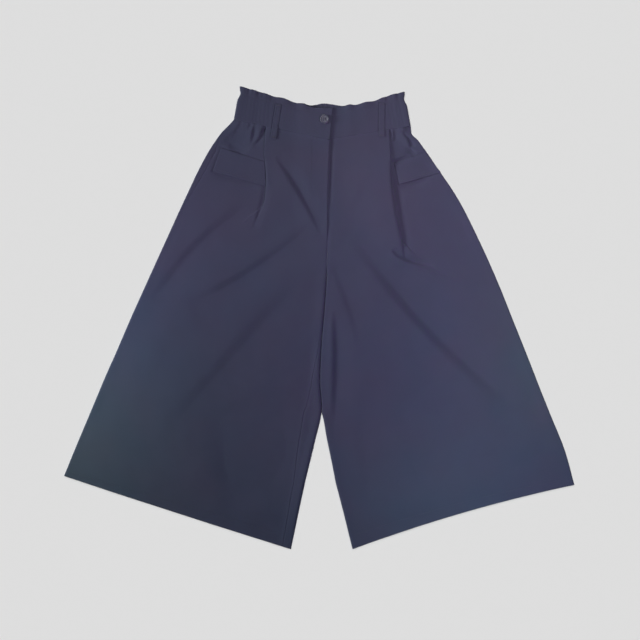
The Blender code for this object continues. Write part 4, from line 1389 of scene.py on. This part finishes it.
def studio_form(name, build, material, **sizes):
    """A part of the studio: build makes its form from the sizes."""
    form = bmesh.new()
    build(form, **sizes)
    mesh = bpy.data.meshes.new(name)
    form.to_mesh(mesh)
    form.free()
    mesh.materials.append(material)
    placed = bpy.data.objects.new(name, mesh)
    studio.link(placed)
    return placed


floor = studio_form("floor", bmesh.ops.create_grid, floor_finish(),
                    x_segments=2, y_segments=2, size=FLOOR_HALF)
backdrop = studio_form("backdrop", bmesh.ops.create_cone, backdrop_finish(),
                       segments=BACKDROP_SIDES, radius1=BACKDROP_RADIUS,
                       radius2=BACKDROP_RADIUS, depth=BACKDROP_RADIUS)
backdrop.visible_diffuse = backdrop.visible_glossy = backdrop.visible_shadow = False


def only_for(lamp, kept_out=(), lit=()):
    """A lamp lights everything but the objects kept out, or only the objects named as lit."""
    group = bpy.data.collections.new(f"{lamp.name}_light")
    for item in (*kept_out, *lit):
        group.objects.link(item)
    for entry in group.collection_objects[:len(kept_out)]:
        entry.light_linking.link_state = "EXCLUDE"
    lamp.light_linking.receiver_collection = group


def hang(lamp, place, towards):
    """Puts a lamp at a place, shining the given way and never seen itself."""
    placed = bpy.data.objects.new(lamp.name, lamp)
    placed.location = place
    placed.rotation_euler = Vector(towards).to_track_quat("-Z", "Y").to_euler()
    placed.visible_camera = False
    studio.link(placed)
    return placed


Sun = namedtuple("Sun", "name towards strength spread lights")
Box = namedtuple("Box", "name x y height size power colour")
SUNS = [
    Sun("key", (0.94, 0.0, -0.34), 2.60, 15, "garment"),
    Sun("waist_key", (0.0, -0.94, -0.34), 0.45, 20, "garment"),
    Sun("floor_sun", (0.05, -0.15, -1.0), 2.83, 45, "floor"),
]
# Soft boxes, each shining straight down on one part of the garment
BOXES = [
    Box("waist_left", 0.20, 0.30, 0.45, 0.3, 1.37, (1.0, 0.89, 0.85)),
    Box("leg_left", 0.40, 0.00, 0.45, 0.3, 0.99, (0.9, 0.21, 1.0)),
    Box("hem_left", 0.40, -0.28, 0.45, 0.3, 0.39, (0.0, 0.11, 1.0)),
    Box("side_right", -0.46, 0.00, 0.25, 0.2, 0.44, (0.66, 0.67, 1.0)),
    Box("hem_right", -0.52, -0.16, 0.25, 0.2, 0.52, (0.61, 1.0, 0.46)),
    Box("waist_right", -0.30, 0.22, 0.25, 0.2, 0.17, (1.0, 0.68, 0.85)),
    Box("side_left", 0.47, -0.05, 0.25, 0.2, 0.38, (0.18, 1.0, 0.0)),
    Box("inner_hem_left", 0.25, -0.35, 0.25, 0.2, 0.32, (0.67, 1.0, 0.73)),
]
WORLD = (1.0, 1.0, 1.0)
WORLD_STRENGTH = 0.02

for row in SUNS:
    lamp = bpy.data.lights.new(row.name, "SUN")
    lamp.energy, lamp.angle = row.strength, math.radians(row.spread)
    placed = hang(lamp, (0, 0, SUN_HEIGHT), row.towards)
    if row.lights == "floor":
        only_for(placed, lit=[floor])
    else:
        only_for(placed, kept_out=[floor])
for row in BOXES:
    lamp = bpy.data.lights.new(row.name, "AREA")
    lamp.shape, lamp.size, lamp.energy, lamp.color = "SQUARE", row.size, row.power, row.colour
    only_for(hang(lamp, (row.x, row.y, row.height), (0, 0, -1)), kept_out=[floor])
world = bpy.data.worlds.new("studio")
world.use_nodes = True
air = world.node_tree.nodes["Background"].inputs
air["Color"].default_value = (*WORLD, 1.0)
air["Strength"].default_value = WORLD_STRENGTH
bpy.context.scene.world = world
bpy.context.scene.view_settings.view_transform = "Standard"
